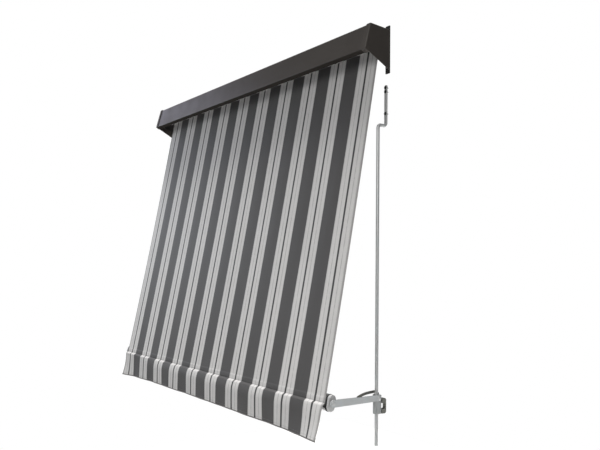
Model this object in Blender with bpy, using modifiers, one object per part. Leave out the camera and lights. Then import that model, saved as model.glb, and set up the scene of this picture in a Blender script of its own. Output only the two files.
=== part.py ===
"""Wall-hung striped window awning: hood, spring roller, guide rods with sliders, folding arms, front bar, valance.

Metres, +Z up. X runs along the wall, the wall is the plane Y = 0 and the awning stands in front of it, towards -Y.
The origin is the centre of the hood's rear flange, on the wall.
"""

import math

import bmesh
import bpy
from mathutils import Matrix, Vector

# ---------------------------------------------------------------- dimensions
HALF_WIDTH = 0.900  # outer face of a hood end
FABRIC_HALF = 0.8677

# hood section, as (y, z) of its outer outline
HOOD_REAR_TOP = (-0.0035, 0.0218)
HOOD_FRONT_TOP = (-0.0978, 0.0280)
HOOD_FRONT_LOW = (-0.1243, -0.0744)
HOOD_REAR_LOW = (-0.0035, -0.1317)
HOOD_SHEET = 0.0014
HOOD_LIP = 0.019
HOOD_INSET = 0.0026  # how far the folded sheet lies inside the ends' rims
HOOD_COVER_HALF = 0.8950
FLANGE_HALF = 0.8760
FLANGE_REACH = 0.0190
CAP_WALL = 0.0022
CAP_RIM = 0.021
CAP_LIP = 0.021

BRACKET_SHEET = 0.003
BRACKET_INNER = 0.8770
BRACKET_TOP, BRACKET_LOW = 0.0370, -0.1430
WEB_INNER = 0.8890

# roller
ROLLER_Y, ROLLER_Z = -0.0470, -0.0300
TUBE_R, TUBE_WALL, TUBE_HALF = 0.0200, 0.0012, 0.8740
WOUND_R = 0.0232
SHAFT_SIDE = 0.008
SHAFT_INNER = 0.400
CARRIER_X = (0.430, 0.450)
SPRING_COIL_R, SPRING_WIRE_R, SPRING_TURNS = 0.0120, 0.0013, 10

# guide rods
ROD_X, ROD_Y, ROD_R = 0.8800, -0.0403, 0.0060
ROD_BOTTOM = -1.4900
ROD_JOGGLE = -0.3370
ROD_BEND = 0.012
STRAP_TOP, STRAP_WIDTH, STRAP_THICK = -0.1843, 0.0156, 0.004
ROD_SCREWS_Z = (-0.1935, -0.2090, -0.2910)
ROD_SCREW_R = 0.0062
SCREW_END = 0.0100  # how far every screw reaches behind the wall's plane

# slider, release lever and arm
PIVOT_Z = -1.3209
ARM_LENGTH = 0.2065
ARM_X = (0.8915, 0.8955)
BLOCK_X = (0.8690, 0.8905)
BLOCK_Y = (-0.0512, -0.0253)
BLOCK_ROUND = 0.0075  # its two upright front edges
YOKE_X = (0.8800, 0.8945)
BLOCK_Z = (PIVOT_Z - 0.057, PIVOT_Z + 0.010)
BORE_R = 0.0063
LEVER_X = (0.8640, 0.8680)
LEVER_PIVOT = (-0.0310, PIVOT_Z + 0.0030)
LEVER_WIDTH = 0.009

# front bar, with its section leaning back along the fabric
BAR_Y, BAR_Z = ROD_Y - ARM_LENGTH, -1.3206
BAR_LEAN = math.radians(10.5)
BAR_R, BAR_STRAIGHT = 0.0155, 0.0135  # half depth, and half the distance between the two round ends' centres
BAR_WALL = 0.0016
BAR_HALF = 0.8688
KEDER_OUT, KEDER_DOWN = 0.003, 0.014
KEDER_R, KEDER_BORE, KEDER_ROD_R, KEDER_SLOT = 0.0055, 0.0040, 0.0030, 0.0024
PLUG_X = (0.8691, 0.8752)
KNUCKLE_X = (0.8755, 0.8862)
KNUCKLE_BOSS = (0.8912, 0.0085)  # outer face and radius of the round seat for the arm
PIN_R = 0.0040

# fabric
CLOTH = 0.0008
GAP = 0.0003
FABRIC_TOP_NORMAL = math.radians(30.0)  # where on the bar's round top the sloping fabric ends
VALANCE_END = (-0.2991, -1.4436)

# ---------------------------------------------------------------- scene
for old in list(bpy.data.objects):
    bpy.data.objects.remove(old, do_unlink=True)

parts = bpy.data.collections.new("window_awning")
cutters = bpy.data.collections.new("cutters")
bpy.context.scene.collection.children.link(parts)
bpy.context.scene.collection.children.link(cutters)
cutters.hide_render = True


def material(name, color, roughness, metallic):
    made = bpy.data.materials.new(name)
    made.use_nodes = True
    shader = made.node_tree.nodes["Principled BSDF"]
    shader.inputs["Base Color"].default_value = (*color, 1.0)
    shader.inputs["Roughness"].default_value = roughness
    shader.inputs["Metallic"].default_value = metallic
    return made


HOOD_PAINT = material("hood_paint", (0.105, 0.098, 0.092), 0.42, 0.0)
BLACK_PAINT = material("black_paint", (0.016, 0.015, 0.014), 0.45, 0.0)
ZINC = material("zinc_steel", (0.52, 0.54, 0.54), 0.38, 1.0)
ALUMINIUM = material("aluminium", (0.62, 0.62, 0.62), 0.40, 1.0)
DARK_STEEL = material("dark_steel", (0.06, 0.062, 0.055), 0.45, 0.6)
BLACK_PLASTIC = material("black_plastic", (0.012, 0.012, 0.012), 0.5, 0.0)
GREY_CAST = material("grey_casting", (0.36, 0.35, 0.35), 0.5, 0.3)
FABRIC = material("striped_fabric", (0.35, 0.34, 0.33), 0.9, 0.0)
STEEL = material("spring_steel", (0.45, 0.45, 0.46), 0.35, 1.0)

# ---------------------------------------------------------------- helpers


def joint_empty(name, place, parent=None):
    empty = bpy.data.objects.new(name, None)
    empty.empty_display_size = 0.03
    parts.objects.link(empty)
    origin = Vector(parent["world"]) if parent else Vector((0, 0, 0))
    empty.location = Vector(place) - origin
    empty["world"] = tuple(place)
    empty.parent = parent
    return empty


def smooth(mesh, degrees=35.0):
    mesh.shade_smooth()
    mesh.set_sharp_from_angle(angle=math.radians(degrees))


def put(name, mesh, mat, on=None, collection=None):
    """An object whose mesh is given in world coordinates, with its origin on the empty that carries it."""
    obj = bpy.data.objects.new(name, mesh)
    (collection or parts).objects.link(obj)
    if mat:
        mesh.materials.clear()
        mesh.materials.append(mat)
    if on is not None:
        mesh.transform(Matrix.Translation(-Vector(on["world"])))
        obj.parent = on
    return obj


def box_mesh(name, low, high):
    bm = bmesh.new()
    bmesh.ops.create_cube(bm, size=1.0)
    low, high = Vector(low), Vector(high)
    low, high = (
        Vector(min(a, b) for a, b in zip(low, high)),
        Vector(max(a, b) for a, b in zip(low, high)),
    )
    centre, side = (low + high) / 2, high - low
    bmesh.ops.transform(
        bm, matrix=Matrix.Translation(centre) @ Matrix.Diagonal((*side, 1)), verts=bm.verts
    )
    mesh = bpy.data.meshes.new(name)
    bm.to_mesh(mesh)
    bm.free()
    return mesh


def rod_mesh(name, start, end, radius, segments=16):
    """A closed cylinder between two points."""
    start, end = Vector(start), Vector(end)
    bm = bmesh.new()
    bmesh.ops.create_cone(
        bm,
        cap_ends=True,
        segments=segments,
        radius1=radius,
        radius2=radius,
        depth=(end - start).length,
    )
    turn = Vector((0, 0, 1)).rotation_difference(end - start).to_matrix().to_4x4()
    bmesh.ops.transform(
        bm, matrix=Matrix.Translation((start + end) / 2) @ turn, verts=bm.verts
    )
    mesh = bpy.data.meshes.new(name)
    bm.to_mesh(mesh)
    bm.free()
    smooth(mesh)
    return mesh


def mesh_of_curve(curve, matrix):
    """The curve as one welded mesh in world coordinates. The curve itself is removed."""
    obj = bpy.data.objects.new(curve.name + "_curve", curve)
    parts.objects.link(obj)
    obj.matrix_world = matrix
    bpy.context.view_layer.update()
    graph = bpy.context.evaluated_depsgraph_get()
    mesh = bpy.data.meshes.new_from_object(obj.evaluated_get(graph))
    mesh.transform(matrix)
    bpy.data.objects.remove(obj, do_unlink=True)
    bm = bmesh.new()
    bm.from_mesh(mesh)
    bmesh.ops.remove_doubles(bm, verts=bm.verts, dist=1e-6)
    bmesh.ops.recalc_face_normals(bm, faces=bm.faces)
    bm.to_mesh(mesh)
    bm.free()
    return mesh


def outline_mesh(name, loops, x0, x1):
    """A flat outline in the YZ plane, with its holes, extruded from x0 to x1."""
    curve = bpy.data.curves.new(name, "CURVE")
    curve.dimensions = "2D"
    curve.fill_mode = "BOTH"
    curve.extrude = abs(x1 - x0) / 2
    for loop in loops:
        spline = curve.splines.new("POLY")
        spline.points.add(len(loop) - 1)
        for point, (y, z) in zip(spline.points, loop):
            point.co = (y, z, 0.0, 1.0)
        spline.use_cyclic_u = True
    stand = Matrix(
        ((0, 0, 1, (x0 + x1) / 2), (1, 0, 0, 0), (0, 1, 0, 0), (0, 0, 0, 1))
    )
    mesh = mesh_of_curve(curve, stand)
    smooth(mesh)
    return mesh


def wire_mesh(name, points, radius, resolution):
    curve = bpy.data.curves.new(name, "CURVE")
    curve.dimensions = "3D"
    curve.bevel_depth = radius
    curve.bevel_resolution = resolution
    curve.use_fill_caps = True
    spline = curve.splines.new("POLY")
    spline.points.add(len(points) - 1)
    for point, place in zip(spline.points, points):
        point.co = (*place, 1.0)
    mesh = mesh_of_curve(curve, Matrix.Identity(4))
    smooth(mesh, 50)
    return mesh


def turned(name, profile, mat, place, axis, on=None, steps=24):
    """A turned piece: profile is (radius, distance along axis), read down the outer side."""
    mesh = bpy.data.meshes.new(name)
    bm = bmesh.new()
    verts = [bm.verts.new((r, 0.0, t)) for r, t in profile]
    for a, b in zip(verts, verts[1:]):
        bm.edges.new((a, b))
    if profile[0][0] > 0:
        bm.edges.new((verts[-1], verts[0]))
    bm.to_mesh(mesh)
    bm.free()
    mesh.materials.append(mat)
    obj = bpy.data.objects.new(name, mesh)
    parts.objects.link(obj)
    origin = Vector(on["world"]) if on else Vector((0, 0, 0))
    obj.location = Vector(place) - origin
    obj.rotation_mode = "QUATERNION"
    obj.rotation_quaternion = Vector((0, 0, 1)).rotation_difference(Vector(axis))
    obj.parent = on
    screw = obj.modifiers.new("turn", "SCREW")
    screw.steps = screw.render_steps = steps
    screw.use_merge_vertices = True
    screw.merge_threshold = 1e-6
    screw.use_smooth_shade = False
    return obj


def bevel(obj, width, segments=2, degrees=40):
    mod = obj.modifiers.new("edges", "BEVEL")
    mod.width = width
    mod.segments = segments
    mod.limit_method = "ANGLE"
    mod.angle_limit = math.radians(degrees)
    return obj


def boolean(obj, mesh, operation):
    helper = put(obj.name + "_" + operation.lower(), mesh, None, None, cutters)
    helper.hide_render = True
    helper.display_type = "WIRE"
    mod = obj.modifiers.new(operation.lower(), "BOOLEAN")
    mod.operation = operation
    mod.object = helper
    mod.solver = "EXACT"
    return obj


def cut(obj, mesh):
    return boolean(obj, mesh, "DIFFERENCE")


def join(obj, mesh):
    return boolean(obj, mesh, "UNION")


def circle(centre, radius, count=24, start=0.0):
    return [
        (
            centre[0] + radius * math.cos(start + 2 * math.pi * i / count),
            centre[1] + radius * math.sin(start + 2 * math.pi * i / count),
        )
        for i in range(count)
    ]


def arc(centre, radius, a0, a1, count):
    return [
        (
            centre[0] + radius * math.cos(a0 + (a1 - a0) * i / count),
            centre[1] + radius * math.sin(a0 + (a1 - a0) * i / count),
        )
        for i in range(count + 1)
    ]


def rounded(points, radius, count=4):
    """A closed outline with each corner rounded."""
    out = []
    for i, here in enumerate(points):
        before, after = Vector(points[i - 1]), Vector(points[(i + 1) % len(points)])
        here = Vector(here)
        u, v = (before - here).normalized(), (after - here).normalized()
        half = u.angle(v) / 2
        reach = min(
            radius / math.tan(half),
            0.49 * (before - here).length,
            0.49 * (after - here).length,
        )
        r = reach * math.tan(half)
        centre = here + (u + v).normalized() * (r / math.sin(half))
        first, last = here + u * reach - centre, here + v * reach - centre
        start = math.atan2(first.y, first.x)
        turn = math.atan2(first.cross(last), first.dot(last))
        for k in range(count + 1):
            angle = start + turn * k / count
            out.append((centre.x + r * math.cos(angle), centre.y + r * math.sin(angle)))
    return out


def offset_line(points, distance):
    """An open line moved sideways, to the left of its direction."""
    out = []
    for i, here in enumerate(points):
        here = Vector(here)
        sides = []
        if i:
            d = (here - Vector(points[i - 1])).normalized()
            sides.append(Vector((-d.y, d.x)))
        if i < len(points) - 1:
            d = (Vector(points[i + 1]) - here).normalized()
            sides.append(Vector((-d.y, d.x)))
        if len(sides) == 1:
            out.append(tuple(here + sides[0] * distance))
        else:
            mid = (sides[0] + sides[1]).normalized()
            out.append(tuple(here + mid * (distance / mid.dot(sides[0]))))
    return out


def band(points, thickness):
    """The closed outline of a strip along a line."""
    return offset_line(points, thickness / 2) + offset_line(points, -thickness / 2)[::-1]


def stadium(centre, lean, radius, straight, count=8):
    """An upright oval of two half circles, leaning back at the top by lean."""
    up = math.pi / 2 - lean
    top = (centre[0] + straight * math.cos(up), centre[1] + straight * math.sin(up))
    low = (centre[0] - straight * math.cos(up), centre[1] - straight * math.sin(up))
    return arc(top, radius, up - math.pi / 2, up + math.pi / 2, count) + arc(
        low, radius, up + math.pi / 2, up + 3 * math.pi / 2, count
    )


def wood_screw(name, place, head_r, head_t, shank_r, reach, on=None):
    """A pan-head screw driven along +Y. place is the seat under its head."""
    profile = [
        (0.0, head_t),
        (head_r * 0.6, head_t * 0.92),
        (head_r, head_t * 0.45),
        (head_r, 0.0),
        (shank_r, 0.0),
        (shank_r, -reach * 0.82),
        (0.0, -reach),
    ]
    obj = turned(name, profile, STEEL_DARK, place, (0, -1, 0), on, 10)
    return obj


STEEL_DARK = material("dark_screws", (0.04, 0.04, 0.04), 0.4, 0.8)

# ---------------------------------------------------------------- joint axes
slider_axis = {
    s: joint_empty(f"slide_{n}", (s * ROD_X, ROD_Y, PIVOT_Z))
    for s, n in ((1, "right"), (-1, "left"))
}
lever_axis = {
    s: joint_empty(
        f"lever_{n}_pivot",
        (s * (LEVER_X[0] + LEVER_X[1]) / 2, *LEVER_PIVOT),
        slider_axis[s],
    )
    for s, n in ((1, "right"), (-1, "left"))
}
arm_axis = {
    s: joint_empty(
        f"arm_{n}_pivot", (s * (ARM_X[0] + ARM_X[1]) / 2, ROD_Y, PIVOT_Z), slider_axis[s]
    )
    for s, n in ((1, "right"), (-1, "left"))
}
bar_axis = joint_empty(
    "bar_pivot", ((ARM_X[0] + ARM_X[1]) / 2, BAR_Y, BAR_Z), arm_axis[1]
)
roller_axis = joint_empty("roller_pivot", (0.0, ROLLER_Y, ROLLER_Z))


# ---------------------------------------------------------------- hood
def hood_cover():
    """One sheet folded to rear flange, top, front and bottom lip, with the flange cut short at both ends."""
    top_d = (Vector(HOOD_FRONT_TOP) - Vector(HOOD_REAR_TOP)).normalized()
    low_d = (Vector(HOOD_REAR_LOW) - Vector(HOOD_FRONT_LOW)).normalized()
    wall_top = Vector(HOOD_REAR_TOP) - top_d * (HOOD_REAR_TOP[0] / top_d.x)
    line = offset_line(
        [
            tuple(wall_top),
            HOOD_FRONT_TOP,
            HOOD_FRONT_LOW,
            tuple(Vector(HOOD_FRONT_LOW) + low_d * (HOOD_LIP + HOOD_INSET)),
        ],
        HOOD_INSET,
    )
    corner = (0.0, line[0][1])
    short = tuple(Vector(corner) + (Vector(line[1]) - Vector(corner)).normalized() * 0.004)
    rows = [(0.0, -FLANGE_REACH), corner, short, *line[1:]]
    columns = [-HOOD_COVER_HALF, -FLANGE_HALF, FLANGE_HALF, HOOD_COVER_HALF]
    bm = bmesh.new()
    grid = {}
    for r, (y, z) in enumerate(rows):
        for c, x in enumerate(columns):
            if r >= 2 or c in (1, 2):
                grid[r, c] = bm.verts.new((x, y, z))
    for r in range(len(rows) - 1):
        for c in range(3):
            corners = [(r, c), (r + 1, c), (r + 1, c + 1), (r, c + 1)]
            if all(key in grid for key in corners):
                bm.faces.new([grid[key] for key in corners])
    bmesh.ops.recalc_face_normals(bm, faces=bm.faces)
    if [f for f in bm.faces if f.normal.z > 0.9] == []:
        bmesh.ops.reverse_faces(bm, faces=bm.faces)
    mesh = bpy.data.meshes.new("hood_cover")
    bm.to_mesh(mesh)
    bm.free()
    obj = put("hood_cover", mesh, HOOD_PAINT)
    bevel(obj, 0.0028, 3, 30)
    solid = obj.modifiers.new("sheet", "SOLIDIFY")
    solid.thickness = HOOD_SHEET
    solid.offset = -1.0
    solid.use_even_offset = True
    for s in (-1, 1):
        cut(obj, rod_mesh("hole", (s * 0.45, -0.01, 0), (s * 0.45, 0.01, 0), 0.0026, 14))
    return obj


hood_cover()


def end_cap(s, side):
    """A shallow moulded cap: the end face, and a rim that laps the folded sheet on top, in front and on the lip."""
    low_d = (Vector(HOOD_REAR_LOW) - Vector(HOOD_FRONT_LOW)).normalized()
    stop = tuple(Vector(HOOD_FRONT_LOW) + low_d * CAP_LIP)
    edge = [HOOD_REAR_TOP, HOOD_FRONT_TOP, HOOD_FRONT_LOW, stop]
    bm = bmesh.new()
    outer = [bm.verts.new((s * HALF_WIDTH, y, z)) for y, z in edge]
    inner = [bm.verts.new((s * (HALF_WIDTH - CAP_RIM), y, z)) for y, z in edge]
    tail = bm.verts.new((s * HALF_WIDTH, *HOOD_REAR_LOW))
    face = bm.faces.new(outer + [tail])
    for i in range(3):
        bm.faces.new([outer[i], outer[i + 1], inner[i + 1], inner[i]])
    bmesh.ops.recalc_face_normals(bm, faces=bm.faces)
    if face.normal.x * s < 0:
        bmesh.ops.reverse_faces(bm, faces=bm.faces)
    mesh = bpy.data.meshes.new("end_cap_" + side)
    bm.to_mesh(mesh)
    bm.free()
    obj = put("end_cap_" + side, mesh, HOOD_PAINT)
    bevel(obj, 0.004, 3, 30)
    solid = obj.modifiers.new("wall", "SOLIDIFY")
    solid.thickness = CAP_WALL
    solid.offset = -1.0
    solid.use_even_offset = True
    return obj


def wall_bracket(s, side):
    """A folded bracket: a narrow flange on the wall, and a web inside the hood that carries the roller."""
    obj = put(
        "wall_bracket_" + side,
        box_mesh(
            "wall_bracket_" + side,
            (s * BRACKET_INNER, -BRACKET_SHEET, BRACKET_LOW),
            (s * HALF_WIDTH, 0.0, BRACKET_TOP),
        ),
        BLACK_PAINT,
    )
    web = rounded(
        [
            (-0.0010, 0.0120),
            (-0.0800, 0.0150),
            (-0.0950, -0.0500),
            (-0.0740, -0.0740),
            (-0.0010, -0.1020),
        ],
        0.006,
        3,
    )
    join(
        obj,
        outline_mesh("web", [web], s * WEB_INNER, s * (WEB_INNER + BRACKET_SHEET)),
    )
    span = (s * (WEB_INNER - 0.004), s * (WEB_INNER + 0.008))
    if s > 0:
        h = SHAFT_SIDE / 2 + GAP
        hole = box_mesh(
            "hole",
            (span[0], ROLLER_Y - h, ROLLER_Z - h),
            (span[1], ROLLER_Y + h, ROLLER_Z + h),
        )
    else:
        hole = rod_mesh(
            "hole", (span[0], ROLLER_Y, ROLLER_Z), (span[1], ROLLER_Y, ROLLER_Z), 0.0054
        )
    cut(obj, hole)
    for z in BRACKET_SCREWS_Z:
        cut(
            obj,
            rod_mesh(
                "hole",
                (s * BRACKET_SCREW_X, -0.02, z),
                (s * BRACKET_SCREW_X, 0.02, z),
                0.0024,
                14,
            ),
        )
    return obj


BRACKET_SCREW_X = 0.8830
BRACKET_SCREWS_Z = (-0.0120, -0.1200)

for s, side in ((1, "right"), (-1, "left")):
    end_cap(s, side)
    wall_bracket(s, side)
    for z, level in zip(BRACKET_SCREWS_Z, ("upper", "lower")):
        wood_screw(
            f"wall_screw_{side}_{level}",
            (s * BRACKET_SCREW_X, -BRACKET_SHEET - GAP, z),
            0.0042,
            0.0026,
            0.0020,
            BRACKET_SHEET + GAP + SCREW_END,
        )
    wood_screw(
        f"hood_screw_{side}",
        (s * 0.45, -HOOD_SHEET - GAP, 0.0),
        0.0042,
        0.0026,
        0.0021,
        HOOD_SHEET + GAP + SCREW_END,
    )

# ---------------------------------------------------------------- roller
ring = [circle((ROLLER_Y, ROLLER_Z), TUBE_R, 24), circle((ROLLER_Y, ROLLER_Z), TUBE_R - TUBE_WALL, 24)]
put("roller_tube", outline_mesh("roller_tube", ring, -TUBE_HALF, TUBE_HALF), ZINC, roller_axis)
wound = [circle((ROLLER_Y, ROLLER_Z), WOUND_R, 24), circle((ROLLER_Y, ROLLER_Z), TUBE_R + 0.0006, 24)]
put("fabric_roll", outline_mesh("fabric_roll", wound, -FABRIC_HALF, FABRIC_HALF), FABRIC, roller_axis)

spigot = TUBE_R - TUBE_WALL - 0.0007
flange_in, flange_out = TUBE_HALF + GAP, TUBE_HALF + 0.0043
turned(
    "roller_plug_right",
    [
        (0.0066, flange_out),
        (TUBE_R - 0.0008, flange_out),
        (TUBE_R, flange_out - 0.0008),
        (TUBE_R, flange_in),
        (spigot, flange_in),
        (spigot, TUBE_HALF - 0.022),
        (spigot - 0.0008, TUBE_HALF - 0.023),
        (0.0066, TUBE_HALF - 0.023),
    ],
    BLACK_PLASTIC,
    (0, ROLLER_Y, ROLLER_Z),
    (1, 0, 0),
    roller_axis,
    20,
)
turned(
    "roller_plug_left",
    [
        (0.0, 0.8945),
        (0.0042, 0.8945),
        (0.0050, 0.8937),
        (0.0050, flange_out),
        (TUBE_R - 0.0008, flange_out),
        (TUBE_R, flange_out - 0.0008),
        (TUBE_R, flange_in),
        (spigot, flange_in),
        (spigot, TUBE_HALF - 0.022),
        (spigot - 0.0008, TUBE_HALF - 0.023),
        (0.0, TUBE_HALF - 0.023),
    ],
    BLACK_PLASTIC,
    (0, ROLLER_Y, ROLLER_Z),
    (-1, 0, 0),
    roller_axis,
    20,
)
h = SHAFT_SIDE / 2
put(
    "spring_shaft",
    box_mesh(
        "spring_shaft",
        (SHAFT_INNER, ROLLER_Y - h, ROLLER_Z - h),
        (0.8940, ROLLER_Y + h, ROLLER_Z + h),
    ),
    ZINC,
)
turned(
    "spring_carrier",
    [
        (0.0066, CARRIER_X[1]),
        (spigot - 0.0006, CARRIER_X[1]),
        (spigot, CARRIER_X[1] - 0.0006),
        (spigot, CARRIER_X[0] + 0.0006),
        (spigot - 0.0006, CARRIER_X[0]),
        (0.0066, CARRIER_X[0]),
    ],
    BLACK_PLASTIC,
    (0, ROLLER_Y, ROLLER_Z),
    (1, 0, 0),
    roller_axis,
    20,
)


def coil(x0, x1, centre, radius, turns, per_turn):
    count = turns * per_turn
    return [
        (
            x0 + (x1 - x0) * i / count,
            centre[0] + radius * math.cos(2 * math.pi * i / per_turn),
            centre[1] + radius * math.sin(2 * math.pi * i / per_turn),
        )
        for i in range(count + 1)
    ]


put(
    "torsion_spring",
    wire_mesh(
        "torsion_spring",
        coil(
            CARRIER_X[1] + SPRING_WIRE_R + GAP,
            TUBE_HALF - 0.023 - SPRING_WIRE_R - GAP,
            (ROLLER_Y, ROLLER_Z),
            SPRING_COIL_R,
            SPRING_TURNS,
            9,
        ),
        SPRING_WIRE_R,
        0,
    ),
    STEEL,
    roller_axis,
)


# ---------------------------------------------------------------- guide rods
def guide_rod(s, side):
    """Round bar, bent to the wall at the top and joined to the flattened strap that is screwed on."""
    path = [(ROD_Y, ROD_BOTTOM), (ROD_Y, ROD_JOGGLE - ROD_BEND)]
    path += arc((ROD_Y + ROD_BEND, ROD_JOGGLE - ROD_BEND), ROD_BEND, math.pi, math.pi / 2, 5)[1:]
    path += [(-0.0016, ROD_JOGGLE)]
    mesh = wire_mesh("guide_rod_" + side, [(s * ROD_X, y, z) for y, z in path], ROD_R, 4)
    obj = put("guide_rod_" + side, mesh, ZINC)
    strap = rounded(
        [
            (-STRAP_WIDTH / 2, STRAP_TOP),
            (STRAP_WIDTH / 2, STRAP_TOP),
            (STRAP_WIDTH / 2, ROD_JOGGLE - ROD_R - 0.0005),
            (-STRAP_WIDTH / 2, ROD_JOGGLE - ROD_R - 0.0005),
        ],
        0.005,
        4,
    )
    flat = outline_mesh("strap", [strap], 0.0, STRAP_THICK)
    flat.transform(
        Matrix(((0, 1, 0, s * ROD_X), (-1, 0, 0, 0), (0, 0, 1, 0), (0, 0, 0, 1)))
    )
    join(obj, flat)
    for z in ROD_SCREWS_Z:
        cut(obj, rod_mesh("hole", (s * ROD_X, -0.02, z), (s * ROD_X, 0.02, z), 0.0027, 14))
    return obj


# ---------------------------------------------------------------- sliders, levers and arms
def slider(s, side):
    front = BLOCK_Y[0] + BLOCK_ROUND
    plan = [(BLOCK_X[1], BLOCK_Y[1])]
    plan += arc((BLOCK_X[1] - BLOCK_ROUND, front), BLOCK_ROUND, 0.0, -math.pi / 2, 5)
    plan += arc((BLOCK_X[0] + BLOCK_ROUND, front), BLOCK_ROUND, -math.pi / 2, -math.pi, 5)
    plan += [(BLOCK_X[0], BLOCK_Y[1])]
    mesh = outline_mesh("slider_" + side, [[(s * x, y) for x, y in plan]], *BLOCK_Z)
    mesh.transform(Matrix(((0, 1, 0, 0), (0, 0, 1, 0), (1, 0, 0, 0), (0, 0, 0, 1))))
    obj = put("slider_" + side, mesh, ZINC)
    bevel(obj, 0.0016, 2, 50)
    cut(
        obj,
        rod_mesh(
            "bore",
            (s * ROD_X, ROD_Y, BLOCK_Z[0] - 0.01),
            (s * ROD_X, ROD_Y, BLOCK_Z[1] + 0.01),
            BORE_R + 0.0001,
            16,
        ),
    )
    cut(
        obj,
        rod_mesh(
            "rivet_hole",
            (s * 0.8872, ROD_Y, PIVOT_Z),
            (s * (BLOCK_X[1] + 0.01), ROD_Y, PIVOT_Z),
            PIN_R + 0.0004,
        ),
    )
    cut(
        obj,
        rod_mesh(
            "lever_hole",
            (s * (BLOCK_X[0] - 0.01), *LEVER_PIVOT),
            (s * 0.8765, *LEVER_PIVOT),
            0.0034,
            12,
        ),
    )
    helpers = [m.object for m in obj.modifiers if m.type == "BOOLEAN"]
    mesh = obj.data
    mesh.transform(Matrix.Translation(-Vector(slider_axis[s]["world"])))
    obj.parent = slider_axis[s]
    return obj, helpers


def slider_yoke(s, side):
    """A U that opens towards the block and closes towards the wall."""
    z0, z1 = PIVOT_Z - 0.0560, PIVOT_Z - 0.0020
    y0, y1 = BLOCK_Y[1] + GAP, -0.0060
    mid = (z0 + z1) / 2
    line = (
        [(y0, z1)]
        + arc((y1 - 0.008, z1 - 0.008), 0.008, math.pi / 2, 0.0, 4)
        + arc((y1 - 0.008, z0 + 0.008), 0.008, 0.0, -math.pi / 2, 4)
        + [(y0, z0), (y0, mid - 0.010)]
        + arc((y1 - 0.0095, mid - 0.0055), 0.0045, -math.pi / 2, 0.0, 3)
        + arc((y1 - 0.0095, mid + 0.0055), 0.0045, 0.0, math.pi / 2, 3)
        + [(y0, mid + 0.010)]
    )
    obj = put(
        "slider_yoke_" + side,
        outline_mesh("slider_yoke_" + side, [line], s * YOKE_X[0], s * YOKE_X[1]),
        DARK_STEEL,
        slider_axis[s],
    )
    return bevel(obj, 0.0010, 1, 50)


def release_lever(s, side):
    """A curved strip that reaches forward above the arm, with a boss on its pin and a tail behind the rod."""
    spine = [
        (-0.1180, 0.0055),
        (-0.1090, 0.0100),
        (-0.0990, 0.0142),
        (-0.0880, 0.0174),
        (-0.0760, 0.0196),
        (-0.0630, 0.0208),
        (-0.0500, 0.0210),
        (-0.0390, 0.0206),
        (-0.0300, 0.0180),
        (-0.0235, 0.0130),
        (-0.0205, 0.0060),
        (-0.0200, -0.0010),
    ]
    strip = band([(y, PIVOT_Z + z) for y, z in spine], LEVER_WIDTH)
    obj = put(
        "release_lever_" + side,
        outline_mesh("release_lever_" + side, [strip], s * LEVER_X[0], s * LEVER_X[1]),
        DARK_STEEL,
    )
    boss = rod_mesh(
        "boss", (s * LEVER_X[0], *LEVER_PIVOT), (s * LEVER_X[1], *LEVER_PIVOT), 0.0100, 18
    )
    join(obj, boss)
    cut(
        obj,
        rod_mesh(
            "hole",
            (s * (LEVER_X[0] - 0.01), *LEVER_PIVOT),
            (s * (LEVER_X[1] + 0.01), *LEVER_PIVOT),
            0.0034,
            12,
        ),
    )
    obj.data.transform(Matrix.Translation(-Vector(lever_axis[s]["world"])))
    obj.parent = lever_axis[s]
    return obj


def arm(s, side):
    """Flat bar with round ends, a little deeper in front, outside the casting's seat."""

    def at(t, h):
        return (ROD_Y - t, PIVOT_Z + (BAR_Z - PIVOT_Z) * t / ARM_LENGTH + h)

    line = arc(at(0, 0), 0.0105, -math.pi / 2, math.pi / 2, 6)
    line += arc(at(ARM_LENGTH, 0), 0.0131, math.pi / 2, 3 * math.pi / 2, 8)
    holes = [
        circle(at(0, 0), PIN_R + 0.0004, 14),
        circle(at(ARM_LENGTH, 0), PIN_R + 0.0004, 14),
    ]
    obj = put(
        "arm_" + side,
        outline_mesh("arm_" + side, [line, *holes], s * ARM_X[0], s * ARM_X[1]),
        ZINC,
        arm_axis[s],
    )
    return bevel(obj, 0.0006, 1, 50)


for s, side in ((1, "right"), (-1, "left")):
    guide_rod(s, side)
    for z, level in zip(ROD_SCREWS_Z, ("top", "upper", "lower")):
        wood_screw(
            f"rod_screw_{side}_{level}",
            (s * ROD_X, -STRAP_THICK - GAP, z),
            ROD_SCREW_R,
            0.0036,
            0.0023,
            STRAP_THICK + GAP + SCREW_END,
        )
    slider(s, side)
    slider_yoke(s, side)
    release_lever(s, side)
    arm(s, side)
    turned(
        "arm_rivet_" + side,
        [
            (0.0, 0.8983),
            (0.0050, 0.8980),
            (0.0078, 0.8968),
            (0.0080, ARM_X[1] + GAP),
            (PIN_R, ARM_X[1] + GAP),
            (PIN_R, 0.8876),
            (0.0, 0.8876),
        ],
        ZINC,
        (0, ROD_Y, PIVOT_Z),
        (s, 0, 0),
        slider_axis[s],
        14,
    )
    turned(
        "lever_pin_" + side,
        [
            (0.0, -0.8548),
            (0.0048, -0.8552),
            (0.0060, -0.8560),
            (0.0060, -0.8568),
            (0.0030, -0.8568),
            (0.0030, -0.8760),
            (0.0, -0.8760),
        ],
        ZINC,
        (0, *LEVER_PIVOT),
        (-s, 0, 0),
        slider_axis[s],
        12,
    )
    put(
        "lever_spring_" + side,
        wire_mesh(
            "lever_spring_" + side,
            [(s * x, y, z) for x, y, z in coil(0.8578, 0.8629, LEVER_PIVOT, 0.0044, 3, 9)],
            0.0006,
            0,
        ),
        STEEL,
        slider_axis[s],
    )

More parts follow.
